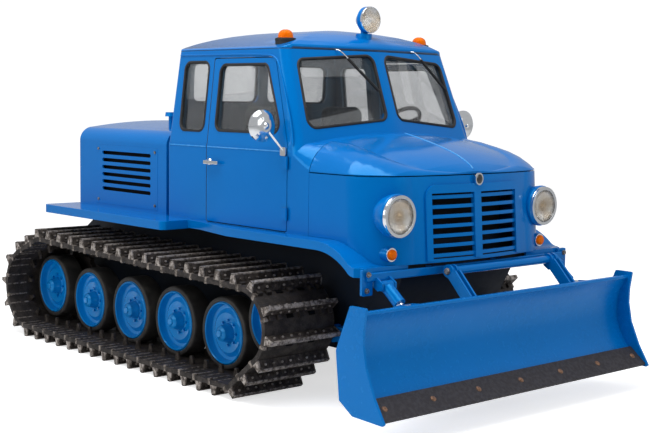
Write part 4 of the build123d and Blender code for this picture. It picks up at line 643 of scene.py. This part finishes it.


# ---------------------------------------------------------------- cab trim
# A raised bead along the belt, in a paler blue that paints its highlight, and a rain gutter
# over each door in body blue; plated pull handles and mirrors on the doors; a lamp-black wiper
# on a bright arm on each windscreen.
# The paler blue, paler still in patches on top faces, is painted highlight on the beads.
highlight_bead_paint = surface_material(
    "bead enamel painted pale as highlight", enamel,
    {
        "Paint": (0.030, 0.300, 0.720, 1.0), "Dust": (0.30, 0.45, 0.60, 1.0), "Dust Amount": 0.4,
        "Gloss Loss": 0.18,
    },
    coat=0.1, specular=0.4, tint=(0.3, 0.7, 1.0, 1.0),
)
plating, plating_in, plating_out = new_group(
    "bright plating", {"Bright": (0.78, 0.80, 0.82, 1.0), "Pitted": (0.42, 0.43, 0.44, 1.0)},
)
pits = noise(plating, plating_in["Position"], 42.0, 6.0)
pitted = times(plating, ramp_mask(plating, pits, 0.55, 0.80), 0.4)
put_out(
    plating, plating_out, mix_colour(plating, pitted, plating_in["Bright"], plating_in["Pitted"]),
    blend(plating, 0.10, 0.25, pitted), pits,
)
chrome = surface_material("chrome plating", plating, {}, metallic=1.0)


def bead_along(name, points, radius, material, body):
    """A round bead or rod that follows a line of points."""
    line = bpy.data.curves.new(name, "CURVE")
    line.dimensions = "3D"
    line.bevel_depth = radius
    line.bevel_resolution = 2
    line.use_fill_caps = True
    spline = line.splines.new("NURBS")
    spline.points.add(len(points) - 1)
    for point, place in zip(spline.points, points):
        point.co = (*place, 1.0)
    spline.order_u = 3
    spline.use_endpoint_u = True
    spline.resolution_u = 6
    drawn = bpy.data.objects.new(name, line)
    data = bpy.data.meshes.new_from_object(drawn)
    bpy.data.objects.remove(drawn)
    bpy.data.curves.remove(line)
    mesh = bmesh.new()
    mesh.from_mesh(data)
    bpy.data.meshes.remove(data)
    return make_piece(name, mesh, material, body, smooth=True, sharp=50)


hands = (("right", -1), ("left", 1))
side_y, belt_z = 0.890, 1.735
pull_x, pull_z = 0.125, 1.604
for hand, side in hands:
    for name, start, end, body in (
        ("belt_bead_shell_", -0.395, 0.078, "machine"), ("belt_bead_door_", 0.096, 1.022, "door_" + hand),
    ):
        bead = bmesh.new()
        side_bar(
            bead, Matrix(), side,
            (start, side_y - 0.003, belt_z - 0.022), (end, side_y + 0.004, belt_z - 0.014),
        )
        make_piece(name + hand, bead, highlight_bead_paint, body, bevel=0.0025)
    bead_along(
        "rain_gutter_" + hand,
        [
            (-0.355, side * 0.813, 2.400), (0.300, side * 0.813, 2.398), (0.700, side * 0.813, 2.392),
            (0.795, side * 0.815, 2.375), (0.850, side * 0.821, 2.322), (0.955, side * 0.845, 2.106),
            (1.075, side * 0.877, 1.840), (1.082, side * 0.884, 1.760),
        ],
        0.007, body_paint, "machine",
    )
    handle = bmesh.new()
    grip = side_bar(
        handle, Matrix(), side,
        (0.100, side_y + 0.0235, pull_z - 0.014), (0.274, side_y + 0.0425, pull_z + 0.014),
    )
    for vert in grip:
        if vert.co.x > 0.2:
            vert.co.z = pull_z + (vert.co.z - pull_z) * 0.92
    # the rose against the door and the stem that carries the grip
    for sides, foot, head, height, out in (
        (24, 0.030, 0.022, 0.012, 0.005), (20, 0.019, 0.017, 0.032, 0.016),
    ):
        place = at_place(pull_x, side * (side_y + out), pull_z, -90 * side, "X")
        stub(handle, place, sides, foot, head, height)
    make_piece("door_pull_" + hand, handle, chrome, "door_" + hand, bevel=0.004)

wiper_black = surface_material(
    "wiper rubber", rubber, {"Fresh": (0.005, 0.005, 0.005, 1.0), "Scuffing": 0.1}, bump=0.1,
)
screen_out = Vector((0.936, 0.0, 0.351))
for hand, pivot, middle, tip in (
    ("right", (0.955, -0.376, 2.440), (1.046, -0.237, 2.287), (1.100, -0.094, 2.145)),
    ("left", (0.948, 0.393, 2.450), (0.990, 0.545, 2.306), (1.024, 0.697, 2.155)),
):
    pivot, middle, tip = Vector(pivot), Vector(middle), Vector(tip)
    start = pivot + screen_out * 0.012
    bead_along(
        "wiper_arm_" + hand,
        [
            pivot - screen_out * 0.03, start, start.lerp(middle + screen_out * 0.010, 0.5),
            middle + screen_out * 0.004,
        ],
        0.005, chrome, "machine",
    )
    bead_along(
        "wiper_blade_" + hand, [start.lerp(middle, 0.45), middle, middle.lerp(tip, 0.5), tip],
        0.011, wiper_black, "machine",
    )
dress(["mirror_right", "mirror_left"], chrome, edge=0.003)
for hand, side in hands:
    boss = bmesh.new()
    spin_profile(
        boss, at_place(0.965, side * 1.020, 1.892, -90),
        [(0.0, 0.010), (0.010, 0.008), (0.018, 0.002), (0.024, -0.004), (0.030, -0.010)], 20,
    )
    make_piece("mirror_boss_" + hand, boss, chrome, "door_" + hand, smooth=True)


# ---------------------------------------------------------------- cab floor, dash and controls
# A rubber mat over a steel floor, a painted steel dash with four round gauges, a thin black
# steering wheel on a raked column, and two plated levers between the seats.
trim, trim_in, trim_out = new_group(
    "moulded trim",
    {"Body": (0.05, 0.055, 0.06, 1.0), "Rubbed": (0.11, 0.115, 0.12, 1.0), "Grain Size": 180.0},
)
pebble = add_node(
    trim, "ShaderNodeTexVoronoi", {"Vector": trim_in["Position"], "Scale": trim_in["Grain Size"]},
)["Distance"]
handled = ramp_mask(trim, noise(trim, trim_in["Position"], 5.0, 5.0), 0.45, 0.7)
put_out(
    trim, trim_out, mix_colour(trim, handled, trim_in["Body"], trim_in["Rubbed"]),
    blend(trim, 0.62, -0.18, handled), pebble,
)
floor_mat = surface_material(
    "ribbed floor mat", trim, {"Body": (0.018, 0.018, 0.019, 1.0), "Grain Size": 60.0}, bump=0.4,
)
dash_paint = surface_material(
    "slate dash enamel", trim, {"Body": (0.075, 0.09, 0.105, 1.0), "Grain Size": 400.0}, bump=0.08,
)
wheel_black = surface_material(
    "steering wheel black", trim, {"Body": (0.010, 0.010, 0.011, 1.0), "Rubbed": (0.035, 0.034, 0.033, 1.0)},
    bump=0.1,
)
dress(["cab_floor"], floor_mat)
dress(["dashboard", "seat_pedestals"], dash_paint, edge=0.004)

wheel_centre = (0.850, 0.360, 1.890)
wheel_rake = -45                                # degrees back from level
ring_radius, ring_thickness = 0.1865, 0.0155
steer = bmesh.new()
bmesh.ops.create_circle(
    steer, cap_ends=False, segments=10, radius=ring_thickness, matrix=at_place(ring_radius, 0, 0, 90, "X"),
)
bmesh.ops.spin(
    steer, geom=steer.verts[:] + steer.edges[:], cent=(0, 0, 0), axis=(0, 0, 1), angle=math.tau, steps=40,
    use_merge=True,
)
for spoke in range(3):
    turned = Matrix.Rotation(math.tau * spoke / 3 + math.pi, 4, "Z")
    for offset in (-0.010, 0.010):
        stub(steer, turned @ at_place(0.100, offset, -0.006, 90, "Y"), 8, 0.006, 0.006, 0.165)
stub(steer, Matrix(), 28, 0.046, 0.030, 0.030)
bmesh.ops.transform(steer, matrix=at_place(*wheel_centre, wheel_rake, "Y"), verts=steer.verts)
bmesh.ops.recalc_face_normals(steer, faces=steer.faces)
steering = make_piece(
    "steering_wheel_rim", steer, wheel_black, "steering_wheel", smooth=True,
)
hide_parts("steering_wheel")

gauge_face = surface_material(
    "gauge face", trim, {"Body": (0.004, 0.004, 0.004, 1.0), "Rubbed": (0.02, 0.02, 0.02, 1.0)}, specular=0.6,
)
gauges, bezels = bmesh.new(), bmesh.new()
dash_face = 0.9985
for across, level, size in (
    (0.245, 1.655, 0.052), (0.365, 1.655, 0.052), (0.480, 1.655, 0.038), (-0.300, 1.650, 0.030),
):
    stub(gauges, at_place(dash_face, across, level, 90, "Y"), 28, size, size, 0.004)
    spin_profile(
        bezels, at_place(dash_face, across, level, 90),
        [(size - 0.001, 0.002), (size + 0.002, 0.006), (size + 0.006, 0.004), (size + 0.008, -0.004)], 28,
    )
make_piece("dash_gauges", gauges, gauge_face, "machine", smooth=True)
make_piece("gauge_bezels", bezels, chrome, "machine", smooth=True)
for name, foot, head in (
    ("gear_lever", (0.78, 0.05, 1.158), (0.70, 0.03, 1.62)),
    ("blade_lever", (0.80, -0.06, 1.158), (0.74, -0.08, 1.56)),
):
    foot, head = Vector(foot), Vector(head)
    bend = foot.lerp(head, 0.5) + Vector((0.03, 0.0, 0.0))
    bead_along(name, [foot, foot.lerp(bend, 0.5), bend, head], 0.009, chrome, "machine")
    knob = bmesh.new()
    bmesh.ops.create_icosphere(knob, subdivisions=3, radius=0.027, matrix=Matrix.Translation(head))
    make_piece(name + "_knob", knob, wheel_black, "machine", smooth=True)


# ---------------------------------------------------------------- seats
# Two bucket seats in dark vinyl: a crowned cushion and a padded back each, on box
# pedestals. The padding is blown up by cloth pressure from a trimmed block.
vinyl, vinyl_in, vinyl_out = new_group(
    "seat vinyl", {"Body": (0.034, 0.040, 0.048, 1.0), "Creased": (0.080, 0.090, 0.102, 1.0)},
)
hide = add_node(vinyl, "ShaderNodeTexVoronoi", {"Vector": vinyl_in["Position"], "Scale": 320.0})["Distance"]
folds = noise(vinyl, vinyl_in["Position"], 12.0, 5.0)
creased = ramp_mask(vinyl, folds, 0.48, 0.72)
put_out(
    vinyl, vinyl_out, mix_colour(vinyl, creased, vinyl_in["Body"], vinyl_in["Creased"]),
    blend(vinyl, 0.42, 0.12, creased), blend(vinyl, folds, 0.4, hide),
)
seat_vinyl = surface_material("dark seat vinyl", vinyl, {}, bump=0.35)


def padded_block(name, low, high, corner, upright):
    """A trimmed foam block under vinyl, swollen by cloth pressure, with its movement capped."""
    low, high = Vector(low), Vector(high)
    swelling_room, most_swelling = Vector((0.010, 0.010, 0.010)), 0.012
    mesh = bmesh.new()
    bar_between(mesh, low + swelling_room, high - swelling_room)
    axis = 0 if upright else 2
    rounded = [
        edge for edge in mesh.edges
        if abs((edge.verts[0].co - edge.verts[1].co)[axis]) > 0.5 * (high - low)[axis] - 0.01
        and sum(abs(value) > 0.001 for value in edge.verts[0].co - edge.verts[1].co) == 1
    ]
    bmesh.ops.bevel(
        mesh, geom=rounded, offset=corner, segments=6, profile=0.5, affect="EDGES", material=-1,
        clamp_overlap=True,
    )
    rim = [edge for edge in mesh.edges if edge.calc_face_angle(0.0) > math.radians(60)]
    bmesh.ops.bevel(mesh, geom=rim, offset=0.024, segments=4, profile=0.5, affect="EDGES", material=-1)
    bmesh.ops.recalc_face_normals(mesh, faces=mesh.faces)
    pad = make_piece(name, mesh, seat_vinyl, "machine", smooth=True, sharp=75)
    bpy.context.view_layer.objects.active = pad
    remesh = pad.modifiers.new("skin", "REMESH")
    remesh.mode = "VOXEL"
    remesh.voxel_size = 0.010
    bpy.ops.object.modifier_apply(modifier="skin")
    before = [vert.co.copy() for vert in pad.data.vertices]
    cloth = pad.modifiers.new("pressure", "CLOTH")
    cloth.settings.use_pressure = True
    cloth.settings.uniform_pressure_force = 4.0
    cloth.settings.effector_weights.gravity = 0.0
    cloth.settings.tension_stiffness = 18.0
    cloth.settings.bending_stiffness = 1.5
    for moment in range(1, 16):
        bpy.context.scene.frame_set(moment)
    swollen = pad.evaluated_get(bpy.context.evaluated_depsgraph_get()).to_mesh()
    after = [vert.co.copy() for vert in swollen.vertices]
    pad.evaluated_get(bpy.context.evaluated_depsgraph_get()).to_mesh_clear()
    pad.modifiers.remove(cloth)
    bpy.context.scene.frame_set(1)
    for vert, old, new in zip(pad.data.vertices, before, after):
        step = new - old
        if step.length > most_swelling:
            step *= most_swelling / step.length
        moved = old + step
        vert.co = [min(max(moved[at], low[at] + 0.0005), high[at] - 0.0005) for at in range(3)]
    pad.data.polygons.foreach_set("use_smooth", [True] * len(pad.data.polygons))
    soft = pad.modifiers.new("skin smoothing", "SUBSURF")
    soft.levels = 1
    soft.render_levels = 1
    return pad


cushion_low, cushion_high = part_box("seat_cushions")
back_low, back_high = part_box("seat_backs")
seat_y, seat_half = 0.385, 0.215
cushions, backs = [], []
for hand, side in hands:
    near, far = side * seat_y - seat_half, side * seat_y + seat_half
    cushions.append(padded_block(
        "seat_cushion_" + hand,
        (cushion_low[0], near, cushion_low[2]), (cushion_high[0], far, cushion_high[2]), 0.060, False,
    ))
    backs.append(padded_block(
        "seat_back_" + hand, (back_low[0], near, back_low[2]), (back_high[0], far, back_high[2]), 0.080, True,
    ))
for pad in cushions:
    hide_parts("seat_cushions")
for pad in backs:
    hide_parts("seat_backs")
for hand, side in hands:
    brackets = bmesh.new()
    for offset in (-0.130, 0.130):
        near, far = side * seat_y + offset - 0.015, side * seat_y + offset + 0.015
        bar_between(brackets, (0.175, near, 1.470), (0.260, far, 1.482))
        bar_between(brackets, (0.168, near, 1.470), (0.178, far, 1.600))
    make_piece("seat_brackets_" + hand, brackets, wheel_black, "machine", bevel=0.003)


# ---------------------------------------------------------------- nose, grille and radiator
# Pressed nose panels in body blue round a barred grille; a black finned radiator and a plain
# engine block behind, the block in near-black enamel as painted shade; a black rubber sheet
# hung below as painted shade under the nose. A thin bead, in a paler blue that paints its
# highlight, runs down the middle of the bonnet to a plated disc with a black enamelled centre.
dress(["nose_shell", "grille"], body_paint, edge=0.004)
dress(["bonnet"], cab_paint, edge=0.004)
core, core_in, core_out = new_group(
    "radiator core", {"Fin": (0.012, 0.012, 0.013, 1.0), "Gap": (0.001, 0.001, 0.001, 1.0)},
)
fins = add_node(
    core, "ShaderNodeTexWave", {"Vector": core_in["Position"], "Scale": 42.0}, bands_direction="Z",
)["Fac"]
put_out(
    core, core_out, mix_colour(core, fins, core_in["Gap"], core_in["Fin"]),
    blend(core, 0.9, -0.2, fins), fins,
)
radiator_core = surface_material("radiator core", core, {}, bump=0.6, specular=0.1)
dress(["radiator"], radiator_core, smooth=False)
# The engine block behind the grille takes the same near-black enamel, as painted shade.
dress(["engine"], shade_black_hull_paint, edge=0.006)
bead_along(
    "bonnet_bead",
    [
        (1.282, 0.0, 1.8430), (1.400, 0.0, 1.8195), (1.540, 0.0, 1.7865), (1.640, 0.0, 1.7605),
        (1.720, 0.0, 1.7365), (1.790, 0.0, 1.7115), (1.850, 0.0, 1.6845), (1.895, 0.0, 1.6595),
        (1.925, 0.0, 1.6385), (1.944, 0.0, 1.6220),
    ],
    0.0055, highlight_bead_paint, "bonnet",
)
# A black rubber sheet, painted shade under the nose.
shade_flap = bmesh.new()
bar_between(shade_flap, (1.860, -0.770, 0.930), (1.866, 0.770, 1.050))
make_piece("nose_shade_flap", shade_flap, seal_rubber, "machine")

dress(["nose_disc"], chrome, edge=0.002)
disc_black = surface_material(
    "black badge enamel", enamel,
    {
        "Paint": (0.006, 0.006, 0.006, 1.0), "Shade": (0.002, 0.002, 0.002, 1.0),
        "Dust": (0.05, 0.05, 0.05, 1.0), "Dust Amount": 0.1, "Gloss Loss": 0.12,
    },
    coat=0.6,
)
badge_front, badge_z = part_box("nose_disc")[1][0], 1.556
badge = bmesh.new()
bmesh.ops.create_circle(badge, cap_ends=True, segments=32, radius=0.029)
bmesh.ops.inset_region(badge, faces=badge.faces[:], thickness=0.005, use_boundary=True, use_even_offset=True)
for vert in badge.verts:
    vert.co.z = 0.0025 if vert.co.length < 0.026 else 0.0
bmesh.ops.scale(badge, verts=badge.verts, vec=(1.1, 1.0, 1.0))
bmesh.ops.transform(badge, matrix=at_place(badge_front + 0.0004, 0.0, badge_z, 90, "Y"), verts=badge.verts)
make_piece("nose_disc_centre", badge, disc_black, "bonnet", smooth=True)


# ---------------------------------------------------------------- headlamps and signals
# Round lamps in painted bowls: a plated ring, a fluted glass and a silvered reflector with
# its bulb; glass and reflector are painted with a warm glow round the bulb and in patches,
# and the reflector with a dark shadow ring at its rim. Amber domes of moulded plastic serve
# as the front signals, each in a painted sleeve, and as the beacons, each on a black collar;
# their faint emission and warm patches are painted glow.
dress(["lamp_bowls", "spotlight"], body_paint, edge=0.004)
dress(["lamp_rims"], chrome, edge=0.003)
dress(["beacon_bases"], wheel_black, edge=0.003)
lamp_back, lamp_y, lamp_z, lamp_r = 1.968, 0.730, 1.336, 0.1155
signal_front, signal_y, signal_z = 1.9335, 0.751, 1.084
beacon_x, beacon_y, beacon_z = 0.742, 0.677, 2.510
spot_back, spot_z = 0.895, 2.666
flutes, flutes_in, flutes_out = new_group(
    "lamp flutes",
    {
        "Bright": (0.86, 0.84, 0.80, 1.0), "Warm Glow": (0.55, 0.40, 0.22, 1.0), "Flute Size": 42.0,
        "Painted Rim Shade": 0.0,
    },
)
ribs = add_node(
    flutes, "ShaderNodeTexWave",
    {"Vector": flutes_in["Position"], "Scale": flutes_in["Flute Size"], "Distortion": 1.5},
    bands_direction="Y",
)["Fac"]
glow = noise(flutes, flutes_in["Position"], 11.0)
lamp_point = add_node(flutes, "ShaderNodeSeparateXYZ", {0: flutes_in["Position"]})
off_side = maths(flutes, "SUBTRACT", maths(flutes, "ABSOLUTE", lamp_point["Y"]), lamp_y)
off_level = maths(flutes, "SUBTRACT", lamp_point["Z"], lamp_z)
off_centre = maths(flutes, "SQRT", maths(
    flutes, "ADD", maths(flutes, "POWER", off_side, 2.0), maths(flutes, "POWER", off_level, 2.0),
))
# Painted glow: warm colour round the lamp centre on glass and reflector, not light from the bulb.
nearness = maths(flutes, "SUBTRACT", 0.0, off_centre)
painted_bulb_glow = times(flutes, ramp_mask(flutes, nearness, -0.075, -0.020), 0.9)
# Painted shadow: a dark ring near the reflector's rim, by the plated ring.
painted_rim_shadow = times(
    flutes, ramp_mask(flutes, off_centre, 0.088, 0.112), ramp_mask(flutes, nearness, -0.140, -0.120),
)
# Painted glow in patches, laid by the noise.
glow_patches = times(flutes, ramp_mask(flutes, glow, 0.40, 0.62), 0.55)
tinted = maths(flutes, "MAXIMUM", painted_bulb_glow, glow_patches)
lit = mix_colour(flutes, tinted, flutes_in["Bright"], flutes_in["Warm Glow"])
ringed = times(flutes, painted_rim_shadow, flutes_in["Painted Rim Shade"])
put_out(
    flutes, flutes_out, mix_colour(flutes, ringed, lit, (0.06, 0.055, 0.05, 1.0)),
    blend(flutes, 0.12, 0.10, ribs), ribs,
)
silvering = surface_material("silvered reflector", flutes, {"Painted Rim Shade": 0.85}, bump=0.5, metallic=0.75)
lens_glass = surface_material(
    "fluted lens glass", flutes, {"Bright": (0.96, 0.96, 0.95, 1.0), "Warm Glow": (0.95, 0.84, 0.66, 1.0)},
    bump=0.6,
)
set_shader(lens_glass, {"Transmission Weight": 1.0, "IOR": 1.45, "Alpha": 0.40})
amber = surface_material(
    "amber plastic", flutes,
    {"Bright": (0.90, 0.17, 0.0, 1.0), "Warm Glow": (0.60, 0.07, 0.0, 1.0), "Flute Size": 60.0},
    bump=0.5, specular=0.3, tint=(1.0, 0.4, 0.1, 1.0),
)
# A faint emission paints a glow into the amber domes, in place of light through the plastic.
set_shader(amber, {
    "Transmission Weight": 0.15, "Emission Color": (0.9, 0.16, 0.004, 1.0), "Emission Strength": 0.06,
})

reflectors, glasses, ambers, rings, collars, sleeves = (bmesh.new() for _ in range(6))
# every profile is (radius, height), the height being forward for a lamp and upward for a beacon
for side in (-1, 1):
    lamp_place = at_place(lamp_back, side * lamp_y, lamp_z, -90)
    signal_place = at_place(signal_front, side * signal_y, signal_z, -90)
    beacon_place = at_place(beacon_x, side * beacon_y, beacon_z - 0.0008, 90, "X")
    spin_profile(reflectors, lamp_place, [
        (lamp_r, 0.0175), (lamp_r - 0.002, 0.0150), (0.080, 0.0060), (0.045, 0.0022), (0.020, 0.0012),
        (0.016, 0.0060), (0.011, 0.0085), (0.0, 0.0095),
    ], 48)
    spin_profile(glasses, lamp_place, [
        (lamp_r, 0.0180), (lamp_r - 0.003, 0.0195), (0.080, 0.0206), (0.045, 0.0212), (0.0, 0.0216),
        (0.0, 0.0180), (0.045, 0.0176), (0.080, 0.0170), (lamp_r - 0.003, 0.0160),
    ], 48, close=True)
    spin_profile(rings, lamp_place, [
        (0.1165, 0.012), (0.1170, 0.020), (0.1220, 0.0215), (0.1290, 0.0205), (0.1345, 0.016),
        (0.1385, 0.008), (0.1400, -0.002), (0.1390, -0.016), (0.1300, -0.010), (0.1180, -0.004),
    ], 56, close=True)
    spin_profile(ambers, signal_place, [
        (0.036, 0.0005), (0.0355, 0.008), (0.033, 0.014), (0.027, 0.0185), (0.025, 0.0180), (0.018, 0.0225),
        (0.016, 0.0220), (0.008, 0.0245), (0.0, 0.025),
    ], 32)
    spin_profile(
        sleeves, signal_place, [(0.0464, -0.110), (0.0475, -0.110), (0.0475, -0.008), (0.0464, -0.005)], 36,
        close=True,
    )
    spin_profile(ambers, beacon_place, [
        (0.057, 0.0), (0.057, 0.006), (0.0555, 0.008), (0.0545, 0.020), (0.0515, 0.032), (0.046, 0.0425),
        (0.038, 0.051), (0.028, 0.0575), (0.015, 0.0612), (0.0, 0.0621),
    ], 32)
    spin_profile(collars, at_place(beacon_x, side * beacon_y, beacon_z, 90, "X"), [
        (0.060, 0.0), (0.0665, 0.001), (0.0755, -0.006), (0.0765, -0.014), (0.0755, -0.020), (0.066, -0.016),
        (0.060, -0.010),
    ], 36, close=True)
spot_place = at_place(spot_back, 0.0, spot_z, -90)
spin_profile(reflectors, spot_place, [
    (0.092, 0.0100), (0.085, 0.0080), (0.050, 0.0022), (0.016, 0.0006), (0.012, 0.005), (0.0, 0.007),
], 40)
spin_profile(glasses, spot_place, [
    (0.093, 0.0120), (0.091, 0.0140), (0.050, 0.0156), (0.0, 0.0160), (0.0, 0.0130), (0.050, 0.0125),
    (0.091, 0.0110),
], 40, close=True)
spin_profile(rings, spot_place, [
    (0.0920, 0.010), (0.0935, 0.0145), (0.0955, 0.0155), (0.0975, 0.013), (0.0979, 0.004), (0.0979, -0.012),
    (0.0960, -0.014),
], 44, close=True)
make_piece("lamp_reflectors", reflectors, silvering, "machine", smooth=True)
covers = make_piece("lamp_glasses", glasses, lens_glass, "machine", smooth=True)
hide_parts("lamp_lenses", "spotlight_lens")
domes = make_piece("amber_domes", ambers, amber, "machine", smooth=True)
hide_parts("amber_lenses")
make_piece("lamp_rings", rings, chrome, "machine", smooth=True)
make_piece("signal_sleeves", sleeves, body_paint, "machine", smooth=True)
make_piece("beacon_collars", collars, wheel_black, "machine", smooth=True)


# ---------------------------------------------------------------- blade
# A curved mouldboard welded between end plates, in body blue that snow keeps rubbed bright,
# with a bare steel cutting edge held by seven plough bolts.
blade_paint = surface_material(
    "rubbed blade enamel", enamel, {"Dust": (0.0, 0.16, 0.38, 1.0), "Dust Amount": 0.10, "Gloss Loss": 0.20},
    bump=0.04, coat=0.04, specular=0.60, tint=body_blue_gloss,
)
dress(["blade"], blade_paint, edge=0.003)
edge_steel = steel_finish(
    "cutting edge steel", (0.070, 0.066, 0.074), (0.036, 0.033, 0.038), 0.5, 40.0, 0.2, 0.4,
)
dress(["cutting_edge"], edge_steel, edge=0.002)
rust_steel = steel_finish("rusted bolt steel", (0.36, 0.20, 0.12), (0.14, 0.075, 0.045), 0.8, 90.0, 0.3, 0.4)
edge_head, edge_foot = (2.335, 0.282), (2.473, 0.172)            # ends of the cutting edge, as x and z
edge_slope = math.degrees(math.atan2(edge_foot[0] - edge_head[0], edge_head[1] - edge_foot[1]))
bolt_x, bolt_z, first_bolt_y, bolt_pitch = 2.4135, 0.2432, -1.260, 0.420
plough = bmesh.new()
for at in range(7):
    place = at_place(bolt_x, first_bolt_y + at * bolt_pitch, bolt_z, 90 - edge_slope, "Y")
    place @= Matrix.Diagonal((1.0, 1.0, 0.45, 1.0))
    bmesh.ops.create_uvsphere(plough, u_segments=16, v_segments=8, radius=0.021, matrix=place)
make_piece("edge_bolts", plough, rust_steel, "blade", smooth=True)


# ---------------------------------------------------------------- blade linkage
# Push arms on a cross box behind the blade, a headstock of two plates and a tube under the
# nose, and a lift cylinder each side: painted barrel, plated rod, pins with round heads.
dress(["push_frame", "headstock", "front_beam"], body_paint, edge=0.004)
dress(["lift_barrel_right", "lift_barrel_left"], body_paint, edge=0.003)
dress(["lift_rod_right", "lift_rod_left"], chrome, edge=0.002)
ram_x, ram_y, ram_z = 1.996, 0.860, 0.901
for hand, side in hands:
    pins = bmesh.new()
    for offset, turn in ((-0.049, 90), (0.049, -90)):
        stub(pins, at_place(ram_x, side * ram_y + offset, ram_z, turn, "X"), 20, 0.020, 0.017, 0.010)
    make_piece("ram_pin_heads_" + hand, pins, bolt_steel, "machine", bevel=0.002)
tube_x, tube_z = 2.050, 0.957
heads = bmesh.new()
for across in (-0.353, 0.337):
    stub(heads, at_place(tube_x, across, tube_z, 90, "X"), 20, 0.024, 0.020, 0.014)
make_piece("headstock_pin_heads", heads, bolt_steel, "blade", bevel=0.002)


# ---------------------------------------------------------------- studio
# Pale seamless floor that looks a little brighter than it is lit; wide soft lights overhead,
# at the side and in front; a long-lens camera low beyond the right front corner.
floor_finish, floor_in, floor_out = new_group("studio floor", {})
cloud = noise(floor_finish, floor_in["Position"], 0.6)
put_out(
    floor_finish, floor_out,
    mix_colour(
        floor_finish, times(floor_finish, cloud, 0.3), (0.86, 0.86, 0.86, 1.0), (0.80, 0.80, 0.81, 1.0),
    ),
    blend(floor_finish, 0.6, 0.1, cloud), cloud,
)
floor_paint = surface_material("studio floor", floor_finish, {}, specular=0.1)
tree = floor_paint.node_tree
seen = add_node(tree, "ShaderNodeLightPath", {})["Is Camera Ray"]
lift = add_node(tree, "ShaderNodeCombineColor", {"Red": seen, "Green": seen, "Blue": seen})["Color"]
tree.links.new(lift, tree.nodes["Principled BSDF"].inputs["Emission Color"])
set_shader(floor_paint, {"Emission Strength": 0.64})
sheet = bmesh.new()
bmesh.ops.create_grid(sheet, x_segments=1, y_segments=1, size=60.0)
studio_floor = new_object("studio_floor", sheet, floor_paint)

world = bpy.data.worlds.new("studio")
world.use_nodes = True
sky = world.node_tree.nodes["Background"].inputs
sky["Color"].default_value = (0.97, 0.98, 1.0, 1.0)
seen = add_node(world.node_tree, "ShaderNodeLightPath", {})["Is Camera Ray"]
brightness = add_node(world.node_tree, "ShaderNodeMapRange", {"Value": seen, "To Min": 0.50, "To Max": 1.06})
world.node_tree.links.new(brightness["Result"], sky["Strength"])
bpy.context.scene.world = world
bpy.context.scene.view_settings.view_transform = "Standard"

for name, place, aim, size, power in (
    ("overhead", (1.0, -2.0, 7.5), (0.2, 0.0, 1.0), (7.0, 5.0), 450),
    ("side", (-1.0, -8.5, 4.0), (-0.2, 0.0, 1.0), (7.0, 3.0), 145),
    ("front", (8.5, 1.5, 3.6), (1.0, 0.0, 1.0), (4.0, 3.0), 60),
):
    lamp = bpy.data.lights.new(name, "AREA")
    lamp.shape = "RECTANGLE"
    lamp.size, lamp.size_y = size
    lamp.energy = power
    light = bpy.data.objects.new(name, lamp)
    light.location = place
    light.rotation_euler = (Vector(aim) - Vector(place)).to_track_quat("-Z", "Y").to_euler()
    bpy.context.scene.collection.objects.link(light)

eye = Vector((7.630, -6.365, 2.092))
yaw, pitch, roll = (math.radians(angle) for angle in (138.542, -5.464, 0.784))
ahead = Vector((math.cos(yaw) * math.cos(pitch), math.sin(yaw) * math.cos(pitch), math.sin(pitch)))
level_right = Vector((math.sin(yaw), -math.cos(yaw), 0.0))
level_up = level_right.cross(ahead)
right = level_right * math.cos(roll) + level_up * math.sin(roll)
up = level_up * math.cos(roll) - level_right * math.sin(roll)
lens = bpy.data.cameras.new("studio camera")
lens.sensor_width = 36.0
lens.lens = 68.86
lens.clip_end = 200.0
camera = bpy.data.objects.new("studio camera", lens)
camera.matrix_world = Matrix((
    (right.x, up.x, -ahead.x, eye.x),
    (right.y, up.y, -ahead.y, eye.y),
    (right.z, up.z, -ahead.z, eye.z),
    (0.0, 0.0, 0.0, 1.0),
))
bpy.context.scene.collection.objects.link(camera)
bpy.context.scene.camera = camera

bpy.context.view_layer.update()
